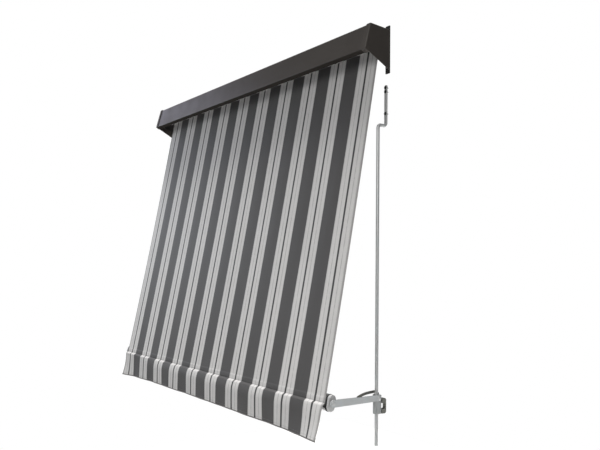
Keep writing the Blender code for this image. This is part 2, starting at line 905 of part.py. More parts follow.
# ---------------------------------------------------------------- front bar
C = Vector((BAR_Y, BAR_Z))
UP = Vector((math.sin(BAR_LEAN), math.cos(BAR_LEAN)))
OUT = Vector((-math.cos(BAR_LEAN), math.sin(BAR_LEAN)))
TOP = C + UP * BAR_STRAIGHT
KEDER = C + OUT * (BAR_R + KEDER_OUT) - UP * KEDER_DOWN


def front_bar():
    """Oval tube with a round channel at its lower front, slotted for the fabric's pocket."""
    shell = [
        stadium(C, BAR_LEAN, BAR_R, BAR_STRAIGHT),
        stadium(C, BAR_LEAN, BAR_R - BAR_WALL, BAR_STRAIGHT),
    ]
    obj = put("front_bar", outline_mesh("front_bar", shell, -BAR_HALF, BAR_HALF), ALUMINIUM)
    join(obj, outline_mesh("channel", [circle(KEDER, KEDER_R, 24, 0.05)], -BAR_HALF, BAR_HALF))
    cut(
        obj,
        outline_mesh(
            "channel_bore", [circle(KEDER, KEDER_BORE, 20)], -BAR_HALF - 0.01, BAR_HALF + 0.01
        ),
    )
    way = (OUT * 0.8 - UP * 0.6).normalized()
    side = Vector((-way.y, way.x)) * (KEDER_SLOT / 2)
    slot = [
        tuple(KEDER + side),
        tuple(KEDER - side),
        tuple(KEDER - side + way * 0.012),
        tuple(KEDER + side + way * 0.012),
    ]
    cut(obj, outline_mesh("channel_slot", [slot], -BAR_HALF - 0.01, BAR_HALF + 0.01))
    obj.data.transform(Matrix.Translation(-Vector(bar_axis["world"])))
    obj.parent = bar_axis
    return obj


front_bar()
put(
    "keder_rod",
    outline_mesh("keder_rod", [circle(KEDER, KEDER_ROD_R, 12)], -FABRIC_HALF, FABRIC_HALF),
    BLACK_PLASTIC,
    bar_axis,
)


def oval_piece(name, x0, x1, radius, mat):
    obj = put(
        name,
        outline_mesh(name, [stadium(C, BAR_LEAN, radius, BAR_STRAIGHT, 8)], x0, x1),
        mat,
    )
    return obj


def end_plug(s, side):
    obj = oval_piece(
        "bar_end_plug_" + side, s * PLUG_X[0], s * PLUG_X[1], BAR_R + 0.0008, BLACK_PLASTIC
    )
    bevel(obj, 0.0012, 1, 50)
    join(
        obj,
        outline_mesh(
            "spigot",
            [stadium(C, BAR_LEAN, BAR_R - BAR_WALL - 0.0018, BAR_STRAIGHT, 5)],
            s * (PLUG_X[0] - 0.022),
            s * (PLUG_X[0] + 0.003),
        ),
    )
    obj.data.transform(Matrix.Translation(-Vector(bar_axis["world"])))
    obj.parent = bar_axis


def knuckle(s, side):
    """Oval end casting with a raised round seat, on which the arm turns."""
    obj = oval_piece("knuckle_" + side, s * KNUCKLE_X[0], s * KNUCKLE_X[1], BAR_R - 0.0003, GREY_CAST)
    bevel(obj, 0.0014, 1, 50)
    join(
        obj,
        rod_mesh(
            "seat",
            (s * (KNUCKLE_X[1] - 0.003), BAR_Y, BAR_Z),
            (s * KNUCKLE_BOSS[0], BAR_Y, BAR_Z),
            KNUCKLE_BOSS[1],
            20,
        ),
    )
    cut(
        obj,
        rod_mesh(
            "pin_bore",
            (s * 0.8786, BAR_Y, BAR_Z),
            (s * 0.9050, BAR_Y, BAR_Z),
            PIN_R + 0.0004,
        ),
    )
    obj.data.transform(Matrix.Translation(-Vector(bar_axis["world"])))
    obj.parent = bar_axis


for s, side in ((1, "right"), (-1, "left")):
    end_plug(s, side)
    knuckle(s, side)
    turned(
        "front_pin_" + side,
        [
            (0.0, 0.8981),
            (0.0050, 0.8978),
            (0.0072, 0.8968),
            (0.0074, ARM_X[1] + GAP),
            (PIN_R, ARM_X[1] + GAP),
            (PIN_R, 0.8790),
            (0.0, 0.8790),
        ],
        ZINC,
        (0, BAR_Y, BAR_Z),
        (s, 0, 0),
        bar_axis,
        14,
    )

# ---------------------------------------------------------------- fabric
LAY = BAR_R + GAP + CLOTH / 2  # the fabric's middle, measured from the bar's round top
fold = Vector((-math.cos(FABRIC_TOP_NORMAL), math.sin(FABRIC_TOP_NORMAL)))
canopy_end = TOP + fold * LAY


def tangent_behind(point, centre, radius):
    """Where a line from point touches the wall side of a circle above it."""
    away = point - centre
    reach = away.length
    turn = math.acos(radius / reach)
    base = math.atan2(away.y, away.x)
    spots = [
        centre + radius * Vector((math.cos(base + k * turn), math.sin(base + k * turn)))
        for k in (-1, 1)
    ]
    return max(spots, key=lambda spot: spot.x)


roller = Vector((ROLLER_Y, ROLLER_Z))
canopy_start = tangent_behind(canopy_end, roller, WOUND_R + GAP + CLOTH / 2)
put(
    "canopy",
    outline_mesh(
        "canopy", [band([tuple(canopy_start), tuple(canopy_end)], CLOTH)], -FABRIC_HALF, FABRIC_HALF
    ),
    FABRIC,
)

# taut over the bar's top and the channel, then down to the hem
r1, r2 = LAY, KEDER_R + GAP + CLOTH / 2
step = KEDER - TOP
reach = step.length
lean = math.acos((r1 - r2) / reach)
along = math.atan2(step.y, step.x)
front = Vector((math.cos(along - lean), math.sin(along - lean)))
hem = Vector(VALANCE_END)
down = hem - KEDER
leave = math.atan2(down.y, down.x) - math.acos(r2 / down.length)
a0 = math.atan2(fold.y, fold.x)
a1 = math.atan2(front.y, front.x)
gap_turn = (GAP + 0.0002) / LAY
line = arc(tuple(TOP), r1, a0 + gap_turn, max(a0 + gap_turn + 0.01, a1), 2)
line += arc(tuple(KEDER), r2, a1, leave + (2 * math.pi if leave < a1 - math.pi else 0), 6)
line += [tuple(hem)]
put(
    "valance",
    outline_mesh("valance", [band(line, CLOTH)], -FABRIC_HALF, FABRIC_HALF),
    FABRIC,
    bar_axis,
)
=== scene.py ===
"""Looks of the striped window awning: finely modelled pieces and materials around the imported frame.

Metres, +Z up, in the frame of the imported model: X along the wall, wall at Y = 0, awning towards -Y.
"""

import math

import bmesh
import bpy
import numpy as np
from mathutils import Matrix, Vector


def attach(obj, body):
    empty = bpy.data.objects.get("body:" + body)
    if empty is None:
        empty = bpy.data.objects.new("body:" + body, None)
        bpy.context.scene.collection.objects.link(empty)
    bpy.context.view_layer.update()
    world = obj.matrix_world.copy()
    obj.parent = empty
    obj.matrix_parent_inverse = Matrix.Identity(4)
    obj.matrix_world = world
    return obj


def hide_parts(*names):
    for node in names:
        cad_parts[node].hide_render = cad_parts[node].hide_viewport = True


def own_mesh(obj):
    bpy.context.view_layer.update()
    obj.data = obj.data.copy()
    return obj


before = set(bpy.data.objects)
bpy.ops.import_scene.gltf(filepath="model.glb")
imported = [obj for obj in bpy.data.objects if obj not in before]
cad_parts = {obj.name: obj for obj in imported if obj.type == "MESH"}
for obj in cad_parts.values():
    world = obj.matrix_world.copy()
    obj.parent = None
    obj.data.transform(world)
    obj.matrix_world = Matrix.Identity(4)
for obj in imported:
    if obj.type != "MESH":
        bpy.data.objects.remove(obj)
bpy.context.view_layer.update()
scene = bpy.context.scene

# ---------------------------------------------------------------- camera
YAW, PITCH, ROLL = 0.94787, 0.06523, 0.01326
FOCAL_PIXELS, IMAGE_WIDTH, SENSOR = 697.509, 600.0, 36.0
forward = Vector(
    (-math.sin(YAW) * math.cos(PITCH), math.cos(YAW) * math.cos(PITCH), math.sin(PITCH))
)
level = Vector((math.cos(YAW), math.sin(YAW), 0.0))
upright = level.cross(forward)
right = level * math.cos(ROLL) + upright * math.sin(ROLL)
up = -level * math.sin(ROLL) + upright * math.cos(ROLL)
camera_data = bpy.data.cameras.new("camera")
camera_data.sensor_width = SENSOR
camera_data.lens = FOCAL_PIXELS / IMAGE_WIDTH * SENSOR
camera_data.clip_start, camera_data.clip_end = 0.05, 200.0
camera = bpy.data.objects.new("camera", camera_data)
scene.collection.objects.link(camera)
camera.matrix_world = Matrix(
    (
        (right.x, up.x, -forward.x, 2.76345),
        (right.y, up.y, -forward.y, -1.73869),
        (right.z, up.z, -forward.z, -0.87302),
        (0, 0, 0, 1),
    )
)
scene.camera = camera

# ---------------------------------------------------------------- dimensions, as in the construction
HALF_WIDTH = 0.900
FABRIC_HALF = 0.8677
HOOD_REAR_TOP = (-0.0035, 0.0218)
HOOD_FRONT_TOP = (-0.0978, 0.0280)
HOOD_FRONT_LOW = (-0.1243, -0.0744)
HOOD_REAR_LOW = (-0.0035, -0.1317)
HOOD_SHEET, HOOD_LIP, HOOD_INSET = 0.0014, 0.019, 0.0026
HOOD_COVER_HALF, FLANGE_HALF, FLANGE_REACH = 0.8950, 0.8760, 0.0190
CAP_WALL, CAP_RIM, CAP_LIP = 0.0022, 0.021, 0.021
BRACKET_SHEET, BRACKET_INNER = 0.003, 0.8770
BRACKET_TOP, BRACKET_LOW, WEB_INNER = 0.0370, -0.1430, 0.8890
BRACKET_SCREW_X, BRACKET_SCREWS_Z = 0.8830, (-0.0120, -0.1200)
ROLLER_Y, ROLLER_Z = -0.0470, -0.0300
TUBE_R, TUBE_WALL, TUBE_HALF = 0.0200, 0.0012, 0.8740
WOUND_R = 0.0232
ROD_X, ROD_Y, ROD_R = 0.8800, -0.0403, 0.0060
ROD_BOTTOM, ROD_JOGGLE, ROD_BEND = -1.4900, -0.3370, 0.012
STRAP_TOP, STRAP_WIDTH, STRAP_THICK = -0.1843, 0.0156, 0.004
ROD_SCREWS_Z = (-0.1935, -0.2090, -0.2910)
ROD_SCREW_R, SCREW_END = 0.0062, 0.0100
PIVOT_Z, ARM_LENGTH, ARM_X = -1.3209, 0.2065, (0.8915, 0.8955)
BLOCK_X, BLOCK_Y = (0.8690, 0.8905), (-0.0512, -0.0253)
BLOCK_ROUND, YOKE_X = 0.0075, (0.8800, 0.8945)
BLOCK_Z = (PIVOT_Z - 0.057, PIVOT_Z + 0.010)
LEVER_X, LEVER_PIVOT, LEVER_WIDTH = (0.8640, 0.8680), (-0.0310, PIVOT_Z + 0.0030), 0.009
BAR_Y, BAR_Z, BAR_LEAN = ROD_Y - ARM_LENGTH, -1.3206, math.radians(10.5)
BAR_R, BAR_STRAIGHT, BAR_WALL, BAR_HALF = 0.0155, 0.0135, 0.0016, 0.8688
KEDER_OUT, KEDER_DOWN = 0.003, 0.014
KEDER_R, KEDER_BORE, KEDER_ROD_R, KEDER_SLOT = 0.0055, 0.0040, 0.0030, 0.0024
PLUG_X, KNUCKLE_X, KNUCKLE_BOSS, PIN_R = (0.8691, 0.8752), (0.8755, 0.8862), (0.8912, 0.0085), 0.0040
CLOTH, GAP = 0.0008, 0.0003
FABRIC_TOP_NORMAL = math.radians(30.0)
VALANCE_END = (-0.2991, -1.4436)
STRIPE_REPEAT = 0.18

CENTRE = Vector((BAR_Y, BAR_Z))
UP2 = Vector((math.sin(BAR_LEAN), math.cos(BAR_LEAN)))
OUT2 = Vector((-math.cos(BAR_LEAN), math.sin(BAR_LEAN)))
TOP2 = CENTRE + UP2 * BAR_STRAIGHT
KEDER = CENTRE + OUT2 * (BAR_R + KEDER_OUT) - UP2 * KEDER_DOWN
ROLLER = Vector((ROLLER_Y, ROLLER_Z))


# ---------------------------------------------------------------- node helpers
class Nodes:
    """Short names for building a material's node tree."""

    def __init__(self, name):
        self.material = bpy.data.materials.new(name)
        self.material.use_nodes = True
        self.tree = self.material.node_tree
        self.shader = self.tree.nodes["Principled BSDF"]

    def add(self, kind, **values):
        node = self.tree.nodes.new(kind)
        for key, value in values.items():
            setattr(node, key, value)
        return node

    def put(self, value, socket):
        if isinstance(value, (int, float)):
            socket.default_value = value
        elif isinstance(value, (tuple, list)):
            socket.default_value = (*value, 1.0) if len(value) == 3 and socket.type == "RGBA" else value
        else:
            self.tree.links.new(value, socket)

    def math(self, operation, a, b=None, c=None, clamp=False):
        node = self.add("ShaderNodeMath", operation=operation, use_clamp=clamp)
        for value, socket in zip((a, b, c), node.inputs):
            if value is not None:
                self.put(value, socket)
        return node.outputs[0]

    def mix(self, factor, a, b, blend="MIX"):
        node = self.add("ShaderNodeMix", data_type="RGBA", blend_type=blend)
        self.put(factor, node.inputs["Factor"])
        self.put(a, node.inputs[6])
        self.put(b, node.inputs[7])
        return node.outputs[2]

    def ramp(self, value, low, high, to_low=0.0, to_high=1.0):
        node = self.add("ShaderNodeMapRange", clamp=True)
        node.interpolation_type = "SMOOTHSTEP"
        for v, key in ((value, "Value"), (low, "From Min"), (high, "From Max"), (to_low, "To Min"), (to_high, "To Max")):
            self.put(v, node.inputs[key])
        return node.outputs[0]

    def noise(self, vector, scale, detail=2.0, roughness=0.5):
        node = self.add("ShaderNodeTexNoise", noise_dimensions="3D")
        self.put(vector, node.inputs["Vector"])
        self.put(scale, node.inputs["Scale"])
        self.put(detail, node.inputs["Detail"])
        self.put(roughness, node.inputs["Roughness"])
        return node.outputs["Fac"]

    def place(self, stretch=(1, 1, 1), kind="Object"):
        node = self.add("ShaderNodeTexCoord")
        mapping = self.add("ShaderNodeMapping")
        self.put(node.outputs[kind], mapping.inputs["Vector"])
        mapping.inputs["Scale"].default_value = stretch
        return mapping.outputs[0]

    def bump(self, height, strength, distance, normal=None):
        node = self.add("ShaderNodeBump")
        node.inputs["Strength"].default_value = strength
        node.inputs["Distance"].default_value = distance
        self.put(height, node.inputs["Height"])
        if normal is not None:
            self.put(normal, node.inputs["Normal"])
        return node.outputs[0]

    def set(self, **values):
        for key, value in values.items():
            self.put(value, self.shader.inputs[key.replace("_", " ")])


def linear(r, g, b):
    """sRGB from 0 to 255 as linear light."""
    out = []
    for c in (r, g, b):
        c /= 255
        out.append(c / 12.92 if c <= 0.04045 else ((c + 0.055) / 1.055) ** 2.4)
    return tuple(out)


def painted(name, color, roughness, grain=0.0006, spread=0.12, bump=0.25, coat=0.0, below=None):
    """Powder coat or moulded plastic: an even colour with faint clouds and a fine orange peel.

    Under the height `below` the colour is darkened as painted shade, for the lip's lower face that gets no light from
    beneath; the same mask also gives the coat there less specular and more roughness.
    """
    n = Nodes(name)
    where = n.place()
    clouds = n.noise(where, 9.0, 4.0, 0.6)
    fine = n.noise(where, 1.0 / grain, 2.0, 0.5)
    level_ = n.math("ADD", n.math("MULTIPLY", clouds, spread), n.math("MULTIPLY", fine, spread * 0.5))
    level_ = n.math("ADD", level_, 1.0 - spread * 0.75)
    if below is not None:
        split = n.add("ShaderNodeSeparateXYZ")
        n.put(n.place(), split.inputs[0])
        # painted shade: this mask darkens the colour below the height `below`, and also lowers specular and raises
        # roughness there
        painted_shade_under = n.ramp(split.outputs[2], below - 0.0012, below + 0.0012, 1.0, 0.0)
        level_ = n.math("MULTIPLY", level_, n.math("SUBTRACT", 1.0, n.math("MULTIPLY", painted_shade_under, 0.35)))
        n.set(Specular_IOR_Level=n.math("SUBTRACT", 0.5, n.math("MULTIPLY", painted_shade_under, 0.45)))
    scaled = n.add("ShaderNodeVectorMath", operation="SCALE")
    scaled.inputs[0].default_value = color
    n.put(level_, scaled.inputs["Scale"])
    n.set(Base_Color=scaled.outputs[0])
    matt = n.ramp(clouds, 0.3, 0.7, roughness - 0.04, roughness + 0.05)
    if below is not None:
        matt = n.math("ADD", matt, n.math("MULTIPLY", painted_shade_under, 0.42))
    n.set(Roughness=matt)
    n.set(Normal=n.bump(fine, bump, 0.00012))
    if coat:
        n.set(Coat_Weight=coat)
        n.set(Coat_Roughness=0.25)
    return n.material


def plated(name, color, roughness, streak=(1, 1, 1), metal=0.9, spread=0.22, tint=(0.92, 1.0, 1.02)):
    """Zinc plating, bare steel or cast metal: mottled tone, roughness that wanders, fine draw lines."""
    n = Nodes(name)
    where = n.place()
    along = n.place(streak)
    clouds = n.noise(where, 22.0, 5.0, 0.62)
    spangle = n.noise(where, 140.0, 3.0, 0.6)
    lines = n.noise(along, 900.0, 2.0, 0.5)
    level_ = n.math("ADD", n.math("MULTIPLY", clouds, spread), n.math("MULTIPLY", spangle, spread * 0.45))
    level_ = n.math("ADD", level_, 1.0 - spread * 0.72)
    scaled = n.add("ShaderNodeVectorMath", operation="SCALE")
    scaled.inputs[0].default_value = color
    n.put(level_, scaled.inputs["Scale"])
    tinted = n.mix(n.ramp(clouds, 0.42, 0.68, 0.0, 0.5), scaled.outputs[0], tuple(c * t for c, t in zip(color, tint)))
    n.set(Base_Color=tinted)
    n.set(Metallic=metal)
    n.set(Roughness=n.ramp(spangle, 0.25, 0.75, roughness - 0.07, roughness + 0.09))
    n.set(Normal=n.bump(lines, 0.18, 0.00015))
    return n.material


# ---------------------------------------------------------------- the woven fabric
LIGHT_BAND = (0.534, 0.526, 0.519)
GREY_LINE = (0.29, 0.285, 0.28)
DARK_BAND = (0.0555, 0.0528, 0.0520)
DARK_LINE = (0.036, 0.0345, 0.034)


def fabric_material():
    """Solution-dyed canvas. U is the place across the cloth and V the way down it, both in metres."""
    n = Nodes("striped_canvas")
    uv = n.add("ShaderNodeUVMap")
    uv.uv_map = "cloth"
    split = n.add("ShaderNodeSeparateXYZ")
    n.put(uv.outputs[0], split.inputs[0])
    u, v = split.outputs[0], split.outputs[1]

    def spot(su, sv, shift=0.0):
        made = n.add("ShaderNodeCombineXYZ")
        n.put(n.math("MULTIPLY", u, su), made.inputs[0])
        n.put(n.math("MULTIPLY", v, sv), made.inputs[1])
        made.inputs[2].default_value = shift
        return made.outputs[0]

    # the yarns wander a little, so no stripe edge is ruled
    wander = n.noise(spot(160.0, 14.0), 1.0, 3.0, 0.6)
    across = n.math("ADD", u, n.math("MULTIPLY", n.math("SUBTRACT", wander, 0.5), 0.0016))
    half = STRIPE_REPEAT / 2
    wrapped = n.math("MODULO", n.math("ADD", across, 10 * STRIPE_REPEAT + half), STRIPE_REPEAT)
    p = n.math("ABSOLUTE", n.math("SUBTRACT", wrapped, half))
    edge = 0.0005
    light = n.ramp(p, 0.0412 - edge, 0.0412 + edge)
    thin = n.ramp(n.math("ABSOLUTE", n.math("SUBTRACT", p, half)), 0.0053 - edge, 0.0053 + edge, 1.0, 0.0)
    fine = n.ramp(n.math("ABSOLUTE", n.math("SUBTRACT", p, 0.0635)), 0.0016 - edge, 0.0016 + edge, 1.0, 0.0)
    flank = n.ramp(n.math("ABSOLUTE", n.math("SUBTRACT", p, 0.0438)), 0.0007, 0.0011, 0.55, 0.0)
    dashes = n.noise(spot(60.0, 38.0, 3.0), 1.0, 2.0, 0.7)
    fine = n.math("MULTIPLY", fine, n.ramp(dashes, 0.30, 0.62, 0.35, 1.0))
    color = n.mix(light, DARK_BAND, LIGHT_BAND)
    # the cut edges end in a greyed selvedge
    selvedge = n.ramp(n.math("ABSOLUTE", u), 0.8580, 0.8596)
    color = n.mix(selvedge, color, GREY_LINE)
    color = n.mix(fine, color, GREY_LINE)
    color = n.mix(flank, color, GREY_LINE)
    color = n.mix(thin, color, DARK_LINE)

    # slubs run down the warp, broad clouds lie over everything
    slub = n.noise(spot(420.0, 5.0, 1.0), 1.0, 3.0, 0.7)
    weft = n.noise(spot(7.0, 300.0, 2.0), 1.0, 2.0, 0.6)
    broad = n.noise(spot(3.0, 2.2, 5.0), 1.0, 3.0, 0.55)
    level_ = n.math("ADD", n.math("MULTIPLY", slub, 0.26), n.math("MULTIPLY", weft, 0.10))
    level_ = n.math("ADD", level_, n.math("MULTIPLY", broad, 0.14))
    level_ = n.math("ADD", level_, 0.75)
    # plain weave: warp and weft ridges that take turns
    pitch = 0.00105
    tau = 2 * math.pi
    warp = n.math("SINE", n.math("MULTIPLY", u, tau / pitch))
    cross = n.math("SINE", n.math("MULTIPLY", v, tau / pitch))
    turns = n.math("MULTIPLY", warp, cross)
    ribs = n.math("MULTIPLY", n.math("ADD", turns, 1.0), 0.5)
    level_ = n.math("MULTIPLY", level_, n.ramp(ribs, 0.0, 1.0, 0.90, 1.06))
    shade = n.add("ShaderNodeVectorMath", operation="SCALE")
    n.put(color, shade.inputs[0])
    n.put(level_, shade.inputs["Scale"])
    n.set(Base_Color=shade.outputs[0])
    n.set(Roughness=0.60)
    n.set(Specular_IOR_Level=0.40)
    n.set(Sheen_Weight=0.09)
    n.set(Sheen_Roughness=0.45)
    n.shader.inputs["Sheen Tint"].default_value = (0.88, 0.92, 1.0, 1.0)
    height = n.math("ADD", n.math("MULTIPLY", ribs, 0.7), n.math("MULTIPLY", slub, 0.6))
    n.set(Normal=n.bump(height, 0.35, 0.0003))
    return n.material


def thread_material():
    n = Nodes("sewing_thread")
    where = n.place()
    twist = n.noise(where, 2500.0, 2.0, 0.5)
    n.set(Base_Color=n.mix(twist, (0.16, 0.155, 0.15), (0.26, 0.255, 0.25)))
    n.set(Roughness=0.7)
    n.set(Normal=n.bump(twist, 0.4, 0.0002))
    return n.material


def tape_material():
    """The ribbed grey binding along the hem."""
    n = Nodes("hem_binding")
    where = n.place()
    split = n.add("ShaderNodeSeparateXYZ")
    n.put(where, split.inputs[0])
    rib = n.math("SINE", n.math("MULTIPLY", split.outputs[0], 2 * math.pi / 0.0012))
    fuzz = n.noise(where, 700.0, 3.0, 0.6)
    mixed = n.math("ADD", n.math("MULTIPLY", rib, 0.15), fuzz)
    n.set(Base_Color=n.mix(n.ramp(mixed, 0.2, 0.9), (0.085, 0.082, 0.080), (0.155, 0.150, 0.146)))
    n.set(Roughness=0.85)
    n.set(Sheen_Weight=0.15)
    n.set(Normal=n.bump(mixed, 0.4, 0.0003))
    return n.material


# below=-0.0722 paints shade on the lower face of the hood's lip
HOOD_PAINT = painted("hood_powder_coat", (0.0395, 0.0345, 0.0305), 0.41, 0.0005, 0.16, 0.22, below=-0.0722)
CAP_PLASTIC = painted("cap_plastic", (0.037, 0.0315, 0.0270), 0.52, 0.0004, 0.18, 0.30)
BLACK_PAINT = painted("bracket_paint", (0.015, 0.0135, 0.012), 0.50, 0.0006, 0.20, 0.30)
ZINC = plated("zinc_plate", (0.56, 0.57, 0.57), 0.42, (1, 1, 0.02), 0.50)
ZINC_ARM = plated("zinc_arm", (0.50, 0.515, 0.52), 0.36, (1, 0.02, 1), 0.60)
ALUMINIUM = plated("mill_aluminium", (0.62, 0.62, 0.62), 0.38, (0.01, 1, 1), 0.95, 0.12, (1, 1, 1))
ZINC_DULL = plated("zinc_sleeve", (0.39, 0.40, 0.40), 0.46, (1, 1, 0.05), 0.55)
DARK_STEEL = plated("dark_phosphate", (0.185, 0.187, 0.174), 0.46, (1, 1, 1), 0.55, 0.35, (1.1, 1.1, 0.95))
BLACK_PLASTIC = painted("black_nylon", (0.011, 0.011, 0.011), 0.48, 0.0004, 0.3, 0.3)
GREY_CAST = plated("grey_casting", (0.50, 0.50, 0.50), 0.48, (1, 1, 1), 0.35, 0.14, (1, 1, 1))
SPRING = plated("spring_wire", (0.46, 0.46, 0.47), 0.32, (1, 1, 1), 0.95, 0.15)
DARK_SCREWS = plated("blacked_screws", (0.050, 0.050, 0.050), 0.38, (1, 1, 1), 0.75, 0.35)
FABRIC = fabric_material()
THREAD = thread_material()
TAPE = tape_material()


# ---------------------------------------------------------------- mesh helpers
def mesh_from(bm, name):
    bmesh.ops.recalc_face_normals(bm, faces=bm.faces)
    mesh = bpy.data.meshes.new(name)
    bm.to_mesh(mesh)
    bm.free()
    return mesh


def prism_mesh(name, outline, x0, x1):
    """A closed (y, z) outline carried from x0 to x1."""
    x0, x1 = min(x0, x1), max(x0, x1)
    bm = bmesh.new()
    a = [bm.verts.new((x0, y, z)) for y, z in outline]
    b = [bm.verts.new((x1, y, z)) for y, z in outline]
    bm.faces.new(a[::-1])
    bm.faces.new(b)
    count = len(outline)
    for i in range(count):
        j = (i + 1) % count
        bm.faces.new((a[i], a[j], b[j], b[i]))
    return mesh_from(bm, name)


def box_mesh(name, low, high):
    low, high = [min(a, b) for a, b in zip(low, high)], [max(a, b) for a, b in zip(low, high)]
    return prism_mesh(
        name, [(low[1], low[2]), (high[1], low[2]), (high[1], high[2]), (low[1], high[2])], low[0], high[0]
    )


def cylinder_mesh(name, start, end, radius, segments=40):
    start, end = Vector(start), Vector(end)
    bm = bmesh.new()
    bmesh.ops.create_cone(
        bm, cap_ends=True, segments=segments, radius1=radius, radius2=radius, depth=(end - start).length
    )
    turn = Vector((0, 0, 1)).rotation_difference(end - start).to_matrix().to_4x4()
    bmesh.ops.transform(bm, matrix=Matrix.Translation((start + end) / 2) @ turn, verts=bm.verts)
    return mesh_from(bm, name)


def lathe_mesh(name, profile, place, axis, segments=48):
    """profile is (radius, distance along axis); a ring when it never meets the axis."""
    bm = bmesh.new()
    rings = []
    for r, t in profile:
        if r < 1e-9:
            rings.append([bm.verts.new((0, 0, t))])
        else:
            rings.append(
                [
                    bm.verts.new(
                        (r * math.cos(2 * math.pi * k / segments), r * math.sin(2 * math.pi * k / segments), t)
                    )
                    for k in range(segments)
                ]
            )
    pairs = list(zip(rings, rings[1:]))
    if len(rings[0]) > 1 and len(rings[-1]) > 1:
        pairs.append((rings[-1], rings[0]))
    for one, two in pairs:
        for k in range(segments):
            m = (k + 1) % segments
            if len(one) == 1 and len(two) > 1:
                bm.faces.new((one[0], two[k], two[m]))
            elif len(two) == 1 and len(one) > 1:
                bm.faces.new((one[k], one[m], two[0]))
            elif len(one) > 1:
                bm.faces.new((one[k], one[m], two[m], two[k]))
    turn = Vector((0, 0, 1)).rotation_difference(Vector(axis)).to_matrix().to_4x4()
    bmesh.ops.transform(bm, matrix=Matrix.Translation(Vector(place)) @ turn, verts=bm.verts)
    return mesh_from(bm, name)


def sweep_mesh(name, rings):
    """Rings of points, each with the same count, skinned in order and closed at both ends."""
    bm = bmesh.new()
    verts = [[bm.verts.new(p) for p in ring] for ring in rings]
    count = len(verts[0])
    for one, two in zip(verts, verts[1:]):
        for k in range(count):
            m = (k + 1) % count
            bm.faces.new((one[k], one[m], two[m], two[k]))
    bm.faces.new(verts[0][::-1])
    bm.faces.new(verts[-1])
    return mesh_from(bm, name)


def wire_rings(points, radius, sides=10):
    """Round rings along a line in space."""
    points = [Vector(p) for p in points]
    normal = None
    rings = []
    for i, here in enumerate(points):
        ahead = points[min(i + 1, len(points) - 1)] - points[max(i - 1, 0)]
        ahead.normalize()
        if normal is None:
            normal = ahead.orthogonal().normalized()
        normal = (normal - ahead * normal.dot(ahead)).normalized()
        other = ahead.cross(normal)
        rings.append(
            [
                here + (normal * math.cos(2 * math.pi * k / sides) + other * math.sin(2 * math.pi * k / sides)) * radius
                for k in range(sides)
            ]
        )
    return rings


def arc(centre, radius, a0, a1, count):
    return [
        (
            centre[0] + radius * math.cos(a0 + (a1 - a0) * i / count),
            centre[1] + radius * math.sin(a0 + (a1 - a0) * i / count),
        )
        for i in range(count + 1)
    ]


def circle(centre, radius, count=48, start=0.0):
    return arc(centre, radius, start, start + 2 * math.pi, count)[:-1]


def rounded(points, radius, count=8):
    out = []
    for i, here in enumerate(points):
        before, after = Vector(points[i - 1]), Vector(points[(i + 1) % len(points)])
        here = Vector(here)
        u, v = (before - here).normalized(), (after - here).normalized()
        half = u.angle(v) / 2
        reach = min(radius / math.tan(half), 0.49 * (before - here).length, 0.49 * (after - here).length)
        r = reach * math.tan(half)
        centre = here + (u + v).normalized() * (r / math.sin(half))
        first, last = here + u * reach - centre, here + v * reach - centre
        start = math.atan2(first.y, first.x)
        turn = math.atan2(first.cross(last), first.dot(last))
        for k in range(count + 1):
            angle = start + turn * k / count
            out.append((centre.x + r * math.cos(angle), centre.y + r * math.sin(angle)))
    return out


def offset_line(points, distance):
    out = []
    for i, here in enumerate(points):
        here = Vector(here)
        sides = []
        if i:
            d = (here - Vector(points[i - 1])).normalized()
            sides.append(Vector((-d.y, d.x)))
        if i < len(points) - 1:
            d = (Vector(points[i + 1]) - here).normalized()
            sides.append(Vector((-d.y, d.x)))
        if len(sides) == 1:
            out.append(tuple(here + sides[0] * distance))
        else:
            mid = (sides[0] + sides[1]).normalized()
            out.append(tuple(here + mid * (distance / mid.dot(sides[0]))))
    return out


def band(points, thickness):
    return offset_line(points, thickness / 2) + offset_line(points, -thickness / 2)[::-1]


def smooth_line(points, count):
    """A fine line through a few points (Catmull-Rom)."""
    p = [Vector(q) for q in points]
    p = [p[0] * 2 - p[1], *p, p[-1] * 2 - p[-2]]
    out = []
    for i in range(1, len(p) - 2):
        for k in range(count):
            t = k / count
            a, b, c, d = p[i - 1], p[i], p[i + 1], p[i + 2]
            out.append(
                tuple(
                    (b * 2 + (c - a) * t + (a * 2 - b * 5 + c * 4 - d) * t * t + (b * 3 - a - c * 3 + d) * t**3) * 0.5
                )
            )
    out.append(tuple(p[-2]))
    return out


def stadium(centre, lean, radius, straight, count=20):
    upward = math.pi / 2 - lean
    top = (centre[0] + straight * math.cos(upward), centre[1] + straight * math.sin(upward))
    low = (centre[0] - straight * math.cos(upward), centre[1] - straight * math.sin(upward))
    return arc(top, radius, upward - math.pi / 2, upward + math.pi / 2, count) + arc(
        low, radius, upward + math.pi / 2, upward + 3 * math.pi / 2, count
    )


